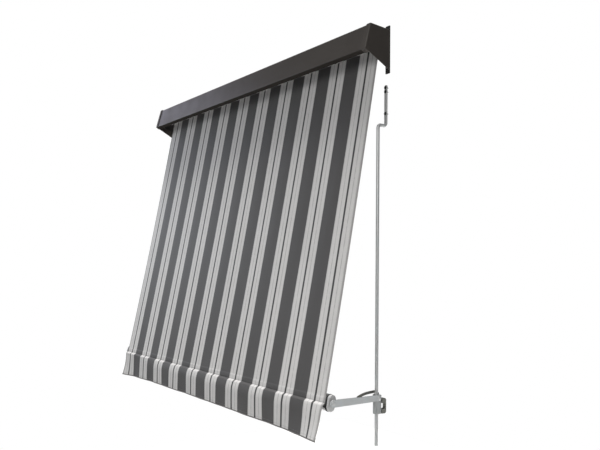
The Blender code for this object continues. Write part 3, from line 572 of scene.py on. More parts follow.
def settle(name, mesh, steps=(), sharp=32.0):
    """The mesh after its steps: ("cut"|"join", mesh), ("bevel", width, segments) or ("wall", thickness)."""
    obj = bpy.data.objects.new(name, mesh)
    scene.collection.objects.link(obj)
    helpers = []
    for step in steps:
        if step[0] in ("cut", "join"):
            helper = bpy.data.objects.new(name + "_tool", step[1])
            scene.collection.objects.link(helper)
            helpers.append(helper)
            mod = obj.modifiers.new("boolean", "BOOLEAN")
            mod.operation = "DIFFERENCE" if step[0] == "cut" else "UNION"
            mod.object = helper
            mod.solver = "EXACT"
        elif step[0] == "bevel":
            mod = obj.modifiers.new("edges", "BEVEL")
            mod.width, mod.segments = step[1], step[2]
            mod.limit_method, mod.angle_limit = "ANGLE", math.radians(step[3] if len(step) > 3 else 38)
            mod.use_clamp_overlap = True
        elif step[0] == "wall":
            mod = obj.modifiers.new("wall", "SOLIDIFY")
            mod.thickness, mod.offset, mod.use_even_offset = step[1], -1.0, True
    bpy.context.view_layer.update()
    made = bpy.data.meshes.new_from_object(obj.evaluated_get(bpy.context.evaluated_depsgraph_get()))
    bpy.data.objects.remove(obj, do_unlink=True)
    for helper in helpers:
        bpy.data.objects.remove(helper, do_unlink=True)
    bm = bmesh.new()
    bm.from_mesh(made)
    bmesh.ops.remove_doubles(bm, verts=bm.verts, dist=1e-6)
    bmesh.ops.dissolve_degenerate(bm, edges=bm.edges, dist=1e-7)
    bm.to_mesh(made)
    bm.free()
    made.shade_smooth()
    made.set_sharp_from_angle(angle=math.radians(sharp))
    made.name = name
    return made


def piece(name, mesh, finish, body, slot, *nodes, weighted=True):
    """A finished piece that rides on a body and stands for its nodes."""
    obj = bpy.data.objects.new(name, mesh)
    scene.collection.objects.link(obj)
    mesh.materials.clear()
    mesh.materials.append(finish)
    if weighted:
        mod = obj.modifiers.new("shading", "WEIGHTED_NORMAL")
        mod.keep_sharp = True
        mod.weight = 80
    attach(obj, body)
    if nodes:
        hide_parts(*nodes)
    return obj


# ---------------------------------------------------------------- hood
def hood_cover():
    top_d = (Vector(HOOD_FRONT_TOP) - Vector(HOOD_REAR_TOP)).normalized()
    low_d = (Vector(HOOD_REAR_LOW) - Vector(HOOD_FRONT_LOW)).normalized()
    wall_top = Vector(HOOD_REAR_TOP) - top_d * (HOOD_REAR_TOP[0] / top_d.x)
    line = offset_line(
        [
            tuple(wall_top),
            HOOD_FRONT_TOP,
            HOOD_FRONT_LOW,
            tuple(Vector(HOOD_FRONT_LOW) + low_d * (HOOD_LIP + HOOD_INSET)),
        ],
        HOOD_INSET,
    )
    corner = (0.0, line[0][1])
    short = tuple(Vector(corner) + (Vector(line[1]) - Vector(corner)).normalized() * 0.004)
    rows = [(0.0, -FLANGE_REACH), corner, short, *line[1:]]
    columns = [-HOOD_COVER_HALF, -FLANGE_HALF, FLANGE_HALF, HOOD_COVER_HALF]
    bm = bmesh.new()
    grid = {}
    for r, (y, z) in enumerate(rows):
        for c, x in enumerate(columns):
            if r >= 2 or c in (1, 2):
                grid[r, c] = bm.verts.new((x, y, z))
    for r in range(len(rows) - 1):
        for c in range(3):
            corners = [(r, c), (r + 1, c), (r + 1, c + 1), (r, c + 1)]
            if all(key in grid for key in corners):
                bm.faces.new([grid[key] for key in corners])
    bmesh.ops.recalc_face_normals(bm, faces=bm.faces)
    if not [f for f in bm.faces if f.normal.z > 0.9]:
        bmesh.ops.reverse_faces(bm, faces=bm.faces)
    mesh = bpy.data.meshes.new("hood_cover")
    bm.to_mesh(mesh)
    bm.free()
    mesh = settle("hood_cover_sheet", mesh, [("bevel", 0.0045, 8, 25), ("wall", HOOD_SHEET)], 30)
    piece("hood_cover_sheet", mesh, HOOD_PAINT, "frame", "hood_paint", "hood_cover")


hood_cover()


def end_cap(s, side):
    low_d = (Vector(HOOD_REAR_LOW) - Vector(HOOD_FRONT_LOW)).normalized()
    stop = tuple(Vector(HOOD_FRONT_LOW) + low_d * CAP_LIP)
    edge = [HOOD_REAR_TOP, HOOD_FRONT_TOP, HOOD_FRONT_LOW, stop]
    bm = bmesh.new()
    outer = [bm.verts.new((s * HALF_WIDTH, y, z)) for y, z in edge]
    inner = [bm.verts.new((s * (HALF_WIDTH - CAP_RIM), y, z)) for y, z in edge]
    tail = bm.verts.new((s * HALF_WIDTH, *HOOD_REAR_LOW))
    face = bm.faces.new(outer + [tail])
    for i in range(3):
        bm.faces.new([outer[i], outer[i + 1], inner[i + 1], inner[i]])
    bmesh.ops.recalc_face_normals(bm, faces=bm.faces)
    if face.normal.x * s < 0:
        bmesh.ops.reverse_faces(bm, faces=bm.faces)
    mesh = bpy.data.meshes.new("cap")
    bm.to_mesh(mesh)
    bm.free()
    mesh = settle(f"end_cap_{side}_moulding", mesh, [("bevel", 0.004, 8, 30), ("wall", CAP_WALL)], 30)
    piece(f"end_cap_{side}_moulding", mesh, CAP_PLASTIC, "frame", "hood_paint", f"end_cap_{side}")


def wall_bracket(s, side):
    flange = rounded(
        [
            (s * BRACKET_INNER, BRACKET_LOW),
            (s * HALF_WIDTH, BRACKET_LOW),
            (s * HALF_WIDTH, BRACKET_TOP),
            (s * BRACKET_INNER, BRACKET_TOP),
        ],
        0.0025,
        5,
    )
    mesh = prism_mesh("flange", [(-x, z) for x, z in flange], -BRACKET_SHEET, 0.0)
    mesh.transform(Matrix(((0, -1, 0, 0), (1, 0, 0, 0), (0, 0, 1, 0), (0, 0, 0, 1))))
    web = rounded(
        [(-0.0010, 0.0120), (-0.0800, 0.0150), (-0.0950, -0.0500), (-0.0740, -0.0740), (-0.0010, -0.1020)], 0.006, 8
    )
    web_mesh = prism_mesh("web", web, s * WEB_INNER, s * (WEB_INNER + BRACKET_SHEET))
    mesh = settle(f"wall_bracket_{side}_folded", mesh, [("join", web_mesh), ("bevel", 0.0006, 3, 50)])
    piece(f"wall_bracket_{side}_folded", mesh, BLACK_PAINT, "frame", "black_paint", f"wall_bracket_{side}")


# ---------------------------------------------------------------- screws
def screw_mesh(name, head_r, head_t, shank_r, reach):
    """Pan head with a cross recess, and a shank with a rolled thread. Seat at the origin, head towards +Z."""
    head = [(0.0, head_t)]
    head += [
        (head_r * math.sin(a), head_t * (0.45 + 0.55 * math.cos(a)))
        for a in [math.radians(d) for d in range(8, 91, 8)]
    ]
    head += [(head_r, head_t * 0.40), (head_r * 0.99, 0.00012), (head_r * 0.96, 0.0), (shank_r * 0.9, 0.0)]
    head += [(shank_r * 0.9, -0.0006), (0.0, -0.0006)]
    arm_w, arm_l = head_r * 0.19, head_r * 0.58
    cut_a = box_mesh("a", (-arm_w, -arm_l, head_t * 0.42), (arm_w, arm_l, head_t * 1.5))
    cut_b = box_mesh("b", (-arm_l, -arm_w, head_t * 0.42), (arm_l, arm_w, head_t * 1.5))
    made = settle(name + "_head", lathe_mesh("head", head, (0, 0, 0), (0, 0, 1), 32), [("cut", cut_a), ("cut", cut_b)])
    pitch, sides = 0.0019, 14
    rows = int(reach / pitch * 6)
    bm = bmesh.new()
    bm.from_mesh(made)
    rings = []
    for i in range(rows + 1):
        z = -reach * i / rows
        taper = min(1.0, (reach + z) / (reach * 0.18) + 0.05)
        ring = []
        for k in range(sides):
            phase = (-z / pitch + k / sides) % 1.0
            ridge = max(0.0, 1.0 - abs(phase - 0.5) / 0.32)
            r = shank_r * (0.74 + 0.26 * ridge) * taper
            angle = 2 * math.pi * k / sides
            ring.append(bm.verts.new((r * math.cos(angle), r * math.sin(angle), z)))
        rings.append(ring)
    for one, two in zip(rings, rings[1:]):
        for k in range(sides):
            m = (k + 1) % sides
            bm.faces.new((one[k], two[k], two[m], one[m]))
    bm.faces.new(rings[0])
    bm.faces.new(rings[-1][::-1])
    bm.to_mesh(made)
    bm.free()
    made.shade_smooth()
    made.set_sharp_from_angle(angle=math.radians(40))
    return made


def drive(name, template, place, node, turn=0.0):
    mesh = template.copy()
    mesh.transform(
        Matrix.Translation(Vector(place))
        @ Matrix.Rotation(math.radians(90), 4, "X")
        @ Matrix.Rotation(turn, 4, "Z")
    )
    piece(name, mesh, DARK_SCREWS, "frame", "dark_screws", node, weighted=False)


WALL_SCREW = screw_mesh("wall_screw", 0.0042, 0.0026, 0.0020, BRACKET_SHEET + GAP + SCREW_END)
HOOD_SCREW = screw_mesh("hood_screw", 0.0042, 0.0026, 0.0021, HOOD_SHEET + GAP + SCREW_END)
ROD_SCREW = screw_mesh("rod_screw", ROD_SCREW_R, 0.0036, 0.0023, STRAP_THICK + GAP + SCREW_END)


# ---------------------------------------------------------------- guide rods
def guide_rod(s, side):
    """Round bar, chamfered below, bent to the wall and hammered flat for its two screws."""
    sides = 28
    place = []  # (y, z), direction angle in the YZ plane, half width, half thickness, squareness
    place.append(((ROD_Y, ROD_BOTTOM), 90, ROD_R - 0.0012, ROD_R - 0.0012, 1.0))
    place.append(((ROD_Y, ROD_BOTTOM + 0.0012), 90, ROD_R, ROD_R, 1.0))
    z = ROD_BOTTOM + 0.03
    while z < ROD_JOGGLE - ROD_BEND - 0.02:
        place.append(((ROD_Y, z), 90, ROD_R, ROD_R, 1.0))
        z += 0.06
    for k in range(11):
        a = math.pi - math.pi / 2 * k / 10
        place.append(
            (
                (ROD_Y + ROD_BEND + ROD_BEND * math.cos(a), ROD_JOGGLE - ROD_BEND + ROD_BEND * math.sin(a)),
                90 - 9 * k,
                ROD_R,
                ROD_R,
                1.0,
            )
        )
    bend, y0 = 0.010, -0.0121
    for k in range(15):
        a = -math.pi / 2 + math.pi / 2 * k / 14
        f = k / 14
        f = f * f * (3 - 2 * f)
        place.append(
            (
                (y0 + bend * math.cos(a), ROD_JOGGLE + bend + bend * math.sin(a)),
                90 * k / 14,
                ROD_R + (STRAP_WIDTH / 2 - ROD_R) * f,
                ROD_R + (0.0019 - ROD_R) * f,
                1.0 - 0.62 * f,
            )
        )
    y1 = y0 + bend
    for z in (-0.312, -0.300, -0.280, -0.250, -0.220, STRAP_TOP - 0.006):
        place.append(((y1, z), 90, STRAP_WIDTH / 2, 0.0019, 0.38))
    for k in range(1, 9):
        a = math.pi / 2 * k / 8
        place.append(
            (
                (y1, STRAP_TOP - 0.006 + 0.006 * math.sin(a)),
                90,
                max(0.0004, STRAP_WIDTH / 2 - 0.006 + 0.006 * math.cos(a)),
                0.0019 if k < 8 else 0.0016,
                0.38,
            )
        )
    rings = []
    for (y, z), angle, half_w, half_t, square in place:
        across = Vector((-math.sin(math.radians(angle)), math.cos(math.radians(angle))))
        ring = []
        for k in range(sides):
            t = 2 * math.pi * k / sides
            c, q = math.cos(t), math.sin(t)
            px = half_w * math.copysign(abs(c) ** square, c)
            pt = half_t * math.copysign(abs(q) ** square, q)
            ring.append((s * ROD_X + px, y + across.x * pt, z + across.y * pt))
        rings.append(ring)
    mesh = sweep_mesh("rod", rings)
    mesh.shade_smooth()
    mesh.set_sharp_from_angle(angle=math.radians(35))
    piece(f"guide_rod_{side}_bar", mesh, ZINC, "frame", "zinc_steel", f"guide_rod_{side}")


for s, side in ((1, "right"), (-1, "left")):
    end_cap(s, side)
    wall_bracket(s, side)
    guide_rod(s, side)
    for z, height in zip(BRACKET_SCREWS_Z, ("upper", "lower")):
        drive(
            f"wall_screw_{side}_{height}_threaded",
            WALL_SCREW,
            (s * BRACKET_SCREW_X, -BRACKET_SHEET - GAP, z),
            f"wall_screw_{side}_{height}",
            0.3 + z * 7,
        )
    for z, height in zip(ROD_SCREWS_Z, ("top", "upper", "lower")):
        drive(
            f"rod_screw_{side}_{height}_threaded",
            ROD_SCREW,
            (s * ROD_X, -STRAP_THICK - GAP, z),
            f"rod_screw_{side}_{height}",
            0.5 + z * 11,
        )
    drive(
        f"hood_screw_{side}_threaded",
        HOOD_SCREW,
        (s * 0.45, -HOOD_SHEET - GAP, 0.0),
        f"hood_screw_{side}",
        0.2 + s,
    )


# ---------------------------------------------------------------- roller
def roller():
    tube = [
        (TUBE_R, -TUBE_HALF),
        (TUBE_R, TUBE_HALF),
        (TUBE_R - TUBE_WALL, TUBE_HALF),
        (TUBE_R - TUBE_WALL, -TUBE_HALF),
    ]
    mesh = lathe_mesh("tube", tube, (0, ROLLER_Y, ROLLER_Z), (1, 0, 0), 72)
    piece("roller_tube_drawn", settle("roller_tube_drawn", mesh), ZINC, "roller", "zinc_steel", "roller_tube")
    spigot = TUBE_R - TUBE_WALL - 0.0007
    flange_in, flange_out = TUBE_HALF + GAP, TUBE_HALF + 0.0043
    body = [
        (TUBE_R - 0.0008, flange_out),
        (TUBE_R - 0.0002, flange_out - 0.0002),
        (TUBE_R, flange_out - 0.0008),
        (TUBE_R, flange_in),
        (spigot, flange_in),
        (spigot, TUBE_HALF - 0.022),
        (spigot - 0.0008, TUBE_HALF - 0.023),
    ]
    right_ = [(0.0066, flange_out), (0.0100, flange_out), (0.0104, flange_out - 0.0006), (0.0150, flange_out - 0.0006)]
    right_ += [(0.0154, flange_out), *body, (0.0066, TUBE_HALF - 0.023)]
    left_ = [(0.0, 0.8945), (0.0042, 0.8945), (0.0048, 0.8942), (0.0050, 0.8937), (0.0050, flange_out)]
    left_ += [(0.0100, flange_out), (0.0104, flange_out - 0.0006), (0.0150, flange_out - 0.0006), (0.0154, flange_out)]
    left_ += [*body, (0.0, TUBE_HALF - 0.023)]
    for side, profile, axis in (("right", right_, 1), ("left", left_, -1)):
        name = f"roller_plug_{side}_moulded"
        mesh = lathe_mesh(name, profile, (0, ROLLER_Y, ROLLER_Z), (axis, 0, 0), 56)
        piece(name, settle(name, mesh), BLACK_PLASTIC, "roller", "black_plastic", f"roller_plug_{side}")


roller()


def fabric_roll():
    """The turns that stay on the tube, as one wound spiral."""
    inner, outer = TUBE_R + 0.0004, WOUND_R - 0.0001
    turns, per_turn = 3.0, 72
    layer = (outer - inner) / turns
    end = math.atan2(canopy_start.y - ROLLER_Z, canopy_start.x - ROLLER_Y)
    count = int(turns * per_turn)
    spiral = []
    for i in range(count + 1):
        a = end + 2 * math.pi * (i - count) / per_turn
        r = inner + (outer - inner) * i / count
        spiral.append((r, a))
    thick = layer * 0.86
    out = [(ROLLER_Y + r * math.cos(a), ROLLER_Z + r * math.sin(a)) for r, a in spiral]
    back = [
        (ROLLER_Y + (r - thick) * math.cos(a), ROLLER_Z + (r - thick) * math.sin(a)) for r, a in reversed(spiral)
    ]
    columns = np.linspace(-FABRIC_HALF, FABRIC_HALF, 25)
    loop = out + back
    length, total = [0.0], 0.0
    for a, b in zip(out, out[1:]):
        total += math.dist(a, b)
        length.append(total)
    way = [total - q for q in length]
    way = [-w for w in way] + [-w for w in reversed(way)]
    bm = bmesh.new()
    layer_uv = bm.loops.layers.uv.new("cloth")
    rows = [[bm.verts.new((x, y, z)) for y, z in loop] for x in columns]
    many = len(loop)
    for c, (one, two) in enumerate(zip(rows, rows[1:])):
        for k in range(many):
            m = (k + 1) % many
            face = bm.faces.new((one[k], one[m], two[m], two[k]))
            for corner, (x, w) in zip(
                face.loops,
                ((columns[c], way[k]), (columns[c], way[m]), (columns[c + 1], way[m]), (columns[c + 1], way[k])),
            ):
                corner[layer_uv].uv = (x, w)
    half = len(out)
    for x, row, flip in ((columns[0], rows[0], True), (columns[-1], rows[-1], False)):
        for k in range(half - 1):
            quad = [row[k], row[k + 1], row[many - 2 - k], row[many - 1 - k]]
            face = bm.faces.new(quad if flip else quad[::-1])
            for corner in face.loops:
                corner[layer_uv].uv = (x, 0.0)
    mesh = mesh_from(bm, "fabric_roll_wound")
    mesh.shade_smooth()
    mesh.set_sharp_from_angle(angle=math.radians(35))
    obj = piece(
        "fabric_roll_wound", mesh, FABRIC, "roller", "striped_fabric", "fabric_roll", weighted=False
    )
    return obj


# ---------------------------------------------------------------- front bar and its ends
def front_bar():
    way = (OUT2 * 0.8 - UP2 * 0.6).normalized()
    side = Vector((-way.y, way.x)) * (KEDER_SLOT / 2)
    slot = [
        tuple(KEDER + side),
        tuple(KEDER - side),
        tuple(KEDER - side + way * 0.012),
        tuple(KEDER + side + way * 0.012),
    ]
    far = BAR_HALF + 0.02
    mesh = settle(
        "front_bar_profile",
        prism_mesh("bar", stadium(CENTRE, BAR_LEAN, BAR_R, BAR_STRAIGHT, 22), -BAR_HALF, BAR_HALF),
        [
            ("join", prism_mesh("channel", circle(KEDER, KEDER_R, 40, 0.05), -BAR_HALF, BAR_HALF)),
            (
                "cut",
                prism_mesh("hollow", stadium(CENTRE, BAR_LEAN, BAR_R - BAR_WALL, BAR_STRAIGHT, 22), -far, far),
            ),
            ("cut", prism_mesh("bore", circle(KEDER, KEDER_BORE, 32), -far, far)),
            ("cut", prism_mesh("slot", slot, -far, far)),
        ],
    )
    piece("front_bar_profile", mesh, ALUMINIUM, "front_bar", "aluminium", "front_bar")
    mesh = prism_mesh("keder", circle(KEDER, KEDER_ROD_R, 28), -FABRIC_HALF, FABRIC_HALF)
    piece(
        "keder_rod_round",
        settle("keder_rod_round", mesh, [("bevel", 0.0004, 2, 50)]),
        BLACK_PLASTIC,
        "front_bar",
        "black_plastic",
        "keder_rod",
    )


front_bar()


def bar_end(s, side):
    plug = settle(
        f"bar_end_plug_{side}_moulded",
        prism_mesh("plug", stadium(CENTRE, BAR_LEAN, BAR_R + 0.0008, BAR_STRAIGHT, 24), s * PLUG_X[0], s * PLUG_X[1]),
        [
            ("bevel", 0.0014, 4, 50),
            (
                "join",
                prism_mesh(
                    "spigot",
                    stadium(CENTRE, BAR_LEAN, BAR_R - BAR_WALL - 0.0018, BAR_STRAIGHT, 16),
                    s * (PLUG_X[0] - 0.022),
                    s * (PLUG_X[0] + 0.003),
                ),
            ),
        ],
    )
    piece(
        f"bar_end_plug_{side}_moulded", plug, BLACK_PLASTIC, "front_bar", "black_plastic", f"bar_end_plug_{side}"
    )
    cast = settle(
        f"knuckle_{side}_cast",
        prism_mesh(
            "knuckle", stadium(CENTRE, BAR_LEAN, BAR_R - 0.0003, BAR_STRAIGHT, 24), s * KNUCKLE_X[0], s * KNUCKLE_X[1]
        ),
        [
            ("bevel", 0.0022, 5, 50),
            (
                "join",
                lathe_mesh(
                    "seat",
                    [
                        (0.0, KNUCKLE_X[1] - 0.003),
                        (KNUCKLE_BOSS[1] + 0.0012, KNUCKLE_X[1] - 0.003),
                        (KNUCKLE_BOSS[1] + 0.0012, KNUCKLE_X[1]),
                        (KNUCKLE_BOSS[1] + 0.0004, KNUCKLE_X[1] + 0.0004),
                        (KNUCKLE_BOSS[1], KNUCKLE_X[1] + 0.0012),
                        (KNUCKLE_BOSS[1], KNUCKLE_BOSS[0] - 0.0005),
                        (KNUCKLE_BOSS[1] - 0.0005, KNUCKLE_BOSS[0]),
                        (0.0, KNUCKLE_BOSS[0]),
                    ],
                    (0, BAR_Y, BAR_Z),
                    (s, 0, 0),
                    48,
                ),
            ),
            ("cut", cylinder_mesh("pin", (s * 0.8786, BAR_Y, BAR_Z), (s * 0.9050, BAR_Y, BAR_Z), PIN_R + 0.0003)),
        ],
    )
    piece(f"knuckle_{side}_cast", cast, GREY_CAST, "front_bar", "grey_casting", f"knuckle_{side}")
    pin = [(0.0, 0.8981)]
    pin += [(0.0074 * math.sin(a), 0.8960 + 0.0021 * math.cos(a)) for a in [math.radians(d) for d in range(10, 86, 8)]]
    pin += [(0.0074, ARM_X[1] + GAP), (PIN_R, ARM_X[1] + GAP), (PIN_R, 0.8790), (0.0, 0.8790)]
    mesh = settle("pin", lathe_mesh("pin", pin, (0, BAR_Y, BAR_Z), (s, 0, 0), 32))
    piece(f"front_pin_{side}_turned", mesh, ZINC, "front_bar", "zinc_steel", f"front_pin_{side}")


# ---------------------------------------------------------------- sliders, levers, arms
def block_mesh(s):
    """The slider's plan with its two round front edges, carried up."""
    front = BLOCK_Y[0] + BLOCK_ROUND
    plan = [(BLOCK_X[1], BLOCK_Y[1])]
    plan += arc((BLOCK_X[1] - BLOCK_ROUND, front), BLOCK_ROUND, 0.0, -math.pi / 2, 14)
    plan += arc((BLOCK_X[0] + BLOCK_ROUND, front), BLOCK_ROUND, -math.pi / 2, -math.pi, 14)
    plan += [(BLOCK_X[0], BLOCK_Y[1])]
    mesh = prism_mesh("block", [(s * x, y) for x, y in plan], *BLOCK_Z)
    mesh.transform(Matrix(((0, 1, 0, 0), (0, 0, 1, 0), (1, 0, 0, 0), (0, 0, 0, 1))))
    return mesh


def slider(s, side):
    body = f"slider_{side}"
    mesh = settle(
        f"slider_{side}_block",
        block_mesh(s),
        [
            ("bevel", 0.0016, 4, 50),
            (
                "cut",
                cylinder_mesh(
                    "bore",
                    (s * ROD_X, ROD_Y, BLOCK_Z[0] - 0.01),
                    (s * ROD_X, ROD_Y, BLOCK_Z[1] + 0.01),
                    0.0064,
                    40,
                ),
            ),
            (
                "cut",
                cylinder_mesh(
                    "rivet", (s * 0.8872, ROD_Y, PIVOT_Z), (s * (BLOCK_X[1] + 0.01), ROD_Y, PIVOT_Z), PIN_R + 0.0004
                ),
            ),
            (
                "cut",
                cylinder_mesh("lever", (s * (BLOCK_X[0] - 0.01), *LEVER_PIVOT), (s * 0.8765, *LEVER_PIVOT), 0.0034),
            ),
        ],
    )
    piece(f"slider_{side}_block", mesh, ZINC_DULL, body, "zinc_steel", f"slider_{side}")

    z0, z1 = PIVOT_Z - 0.0560, PIVOT_Z - 0.0020
    y0, y1 = BLOCK_Y[1] + GAP, -0.0060
    mid = (z0 + z1) / 2
    line = (
        [(y0, z1)]
        + arc((y1 - 0.008, z1 - 0.008), 0.008, math.pi / 2, 0.0, 12)
        + arc((y1 - 0.008, z0 + 0.008), 0.008, 0.0, -math.pi / 2, 12)
        + [(y0, z0), (y0, mid - 0.010)]
        + arc((y1 - 0.0095, mid - 0.0055), 0.0045, -math.pi / 2, 0.0, 8)
        + arc((y1 - 0.0095, mid + 0.0055), 0.0045, 0.0, math.pi / 2, 8)
        + [(y0, mid + 0.010)]
    )
    mesh = settle(
        f"slider_yoke_{side}_bent",
        prism_mesh("yoke", line, s * YOKE_X[0], s * YOKE_X[1]),
        [("bevel", 0.0009, 3, 50)],
    )
    piece(f"slider_yoke_{side}_bent", mesh, DARK_STEEL, body, "dark_steel", f"slider_yoke_{side}")

    spine = [
        (-0.1180, 0.0035),
        (-0.1090, 0.0073),
        (-0.0990, 0.0108),
        (-0.0880, 0.0137),
        (-0.0760, 0.0158),
        (-0.0630, 0.0173),
        (-0.0500, 0.0183),
        (-0.0390, 0.0188),
        (-0.0300, 0.0180),
        (-0.0235, 0.0130),
        (-0.0205, 0.0060),
        (-0.0200, -0.0010),
    ]
    strip = band(smooth_line([(y, PIVOT_Z + z) for y, z in spine], 4), LEVER_WIDTH)
    mesh = settle(
        f"release_lever_{side}_strip",
        prism_mesh("strip", rounded_ends(strip), s * LEVER_X[0], s * LEVER_X[1]),
        [
            (
                "join",
                cylinder_mesh("boss", (s * LEVER_X[0], *LEVER_PIVOT), (s * LEVER_X[1], *LEVER_PIVOT), 0.0100, 48),
            ),
            (
                "cut",
                cylinder_mesh(
                    "hole", (s * (LEVER_X[0] - 0.01), *LEVER_PIVOT), (s * (LEVER_X[1] + 0.01), *LEVER_PIVOT), 0.0034
                ),
            ),
            ("bevel", 0.0006, 3, 50),
        ],
    )
    piece(
        f"release_lever_{side}_strip", mesh, DARK_STEEL, f"lever_{side}", "dark_steel", f"release_lever_{side}"
    )
    rivet = [(0.0, 0.8983)]
    rivet += [(0.0080 * math.sin(a), 0.8958 + 0.0025 * math.cos(a)) for a in [math.radians(d) for d in range(10, 86, 8)]]
    rivet += [(0.0080, ARM_X[1] + GAP), (PIN_R, ARM_X[1] + GAP), (PIN_R, 0.8876), (0.0, 0.8876)]
    mesh = settle("rivet", lathe_mesh("rivet", rivet, (0, ROD_Y, PIVOT_Z), (s, 0, 0), 40))
    piece(f"arm_rivet_{side}_domed", mesh, ZINC, body, "zinc_steel", f"arm_rivet_{side}")
    pin = [
        (0.0, -0.8548),
        (0.0040, -0.8549),
        (0.0052, -0.8553),
        (0.0060, -0.8560),
        (0.0060, -0.8568),
        (0.0030, -0.8568),
        (0.0030, -0.8760),
        (0.0, -0.8760),
    ]
    mesh = settle("lever_pin", lathe_mesh("lever_pin", pin, (0, *LEVER_PIVOT), (-s, 0, 0), 32))
    piece(f"lever_pin_{side}_turned", mesh, ZINC, body, "zinc_steel", f"lever_pin_{side}")
    turns, per = 3, 28
    coil = [
        (
            s * (0.8578 + 0.0051 * i / (turns * per)),
            LEVER_PIVOT[0] + 0.0044 * math.cos(2 * math.pi * i / per),
            LEVER_PIVOT[1] + 0.0044 * math.sin(2 * math.pi * i / per),
        )
        for i in range(turns * per + 1)
    ]
    mesh = sweep_mesh("lever_spring", wire_rings(coil, 0.0006, 10))
    mesh.shade_smooth()
    mesh.set_sharp_from_angle(angle=math.radians(50))
    piece(
        f"lever_spring_{side}_wound", mesh, SPRING, body, "spring_steel", f"lever_spring_{side}", weighted=False
    )


def rounded_ends(loop):
    """A strip outline with its four end corners taken round."""
    half = len(loop) // 2
    out = list(loop)
    corners = {0, half - 1, half, len(loop) - 1}
    made = []
    for i, here in enumerate(out):
        if i not in corners:
            made.append(here)
            continue
        before, after = Vector(out[i - 1]), Vector(out[(i + 1) % len(out)])
        here = Vector(here)
        u, v = (before - here), (after - here)
        ru, rv = min(0.0035, u.length * 0.9), min(0.0035, v.length * 0.9)
        a, b = here + u.normalized() * ru, here + v.normalized() * rv
        for k in range(7):
            t = k / 6
            made.append(tuple(a * (1 - t) ** 2 + here * 2 * t * (1 - t) + b * t * t))
    return made


def arm(s, side):
    def at(t, h):
        return (ROD_Y - t, PIVOT_Z + (BAR_Z - PIVOT_Z) * t / ARM_LENGTH + h)

    line = arc(at(0, 0), 0.0105, -math.pi / 2, math.pi / 2, 24)
    line += arc(at(ARM_LENGTH, 0), 0.0131, math.pi / 2, 3 * math.pi / 2, 28)
    line = line[::-1]
    mesh = settle(
        f"arm_{side}_flat",
        prism_mesh("arm", line, s * ARM_X[0], s * ARM_X[1]),
        [
            (
                "cut",
                cylinder_mesh("a", (s * 0.885, *at(0, 0)), (s * 0.905, *at(0, 0)), PIN_R + 0.0004, 32),
            ),
            (
                "cut",
                cylinder_mesh(
                    "b", (s * 0.885, *at(ARM_LENGTH, 0)), (s * 0.905, *at(ARM_LENGTH, 0)), PIN_R + 0.0004, 32
                ),
            ),
            ("bevel", 0.0007, 3, 50),
        ],
    )
    piece(f"arm_{side}_flat", mesh, ZINC_ARM, f"arm_{side}", "zinc_steel", f"arm_{side}")


for s, side in ((1, "right"), (-1, "left")):
    bar_end(s, side)
    slider(s, side)
    arm(s, side)

# ---------------------------------------------------------------- fabric
LAY = BAR_R + GAP + CLOTH / 2
fold = Vector((-math.cos(FABRIC_TOP_NORMAL), math.sin(FABRIC_TOP_NORMAL)))
canopy_end = TOP2 + fold * LAY


def tangent_behind(point, centre, radius):
    away = point - centre
    turn = math.acos(radius / away.length)
    base = math.atan2(away.y, away.x)
    spots = [
        centre + radius * Vector((math.cos(base + k * turn), math.sin(base + k * turn))) for k in (-1, 1)
    ]
    return max(spots, key=lambda spot: spot.x)


canopy_start = tangent_behind(canopy_end, ROLLER, WOUND_R + GAP + CLOTH / 2)
fabric_roll()


def waves(u, terms):
    return sum(a * np.sin(2 * np.pi * u / w + f) for a, w, f in terms)


def cloth_mesh(name, points, uvs, thickness):
    """A grid of points with its map in metres, given the cloth's thickness on both sides of it."""
    rows, columns = points.shape[:2]
    bm = bmesh.new()
    layer_uv = bm.loops.layers.uv.new("cloth")
    verts = [[bm.verts.new(points[r, c]) for c in range(columns)] for r in range(rows)]
    for r in range(rows - 1):
        for c in range(columns - 1):
            spots = ((r, c), (r + 1, c), (r + 1, c + 1), (r, c + 1))
            face = bm.faces.new([verts[a][b] for a, b in spots])
            for corner, (a, b) in zip(face.loops, spots):
                corner[layer_uv].uv = uvs[a, b]
    bmesh.ops.recalc_face_normals(bm, faces=bm.faces)
    mesh = bpy.data.meshes.new(name)
    bm.to_mesh(mesh)
    bm.free()
    obj = bpy.data.objects.new(name + "_raw", mesh)
    scene.collection.objects.link(obj)
    mod = obj.modifiers.new("wall", "SOLIDIFY")
    mod.thickness, mod.offset, mod.use_even_offset = thickness, 0.0, True
    bpy.context.view_layer.update()
    made = bpy.data.meshes.new_from_object(obj.evaluated_get(bpy.context.evaluated_depsgraph_get()))
    bpy.data.objects.remove(obj, do_unlink=True)
    made.shade_smooth()
    made.set_sharp_from_angle(angle=math.radians(60))
    made.name = name
    return made


across = canopy_end - canopy_start
CANOPY_LENGTH = across.length
down_dir = across.normalized()
face_dir = Vector((down_dir.y, -down_dir.x))
if face_dir.x > 0:
    face_dir = -face_dir


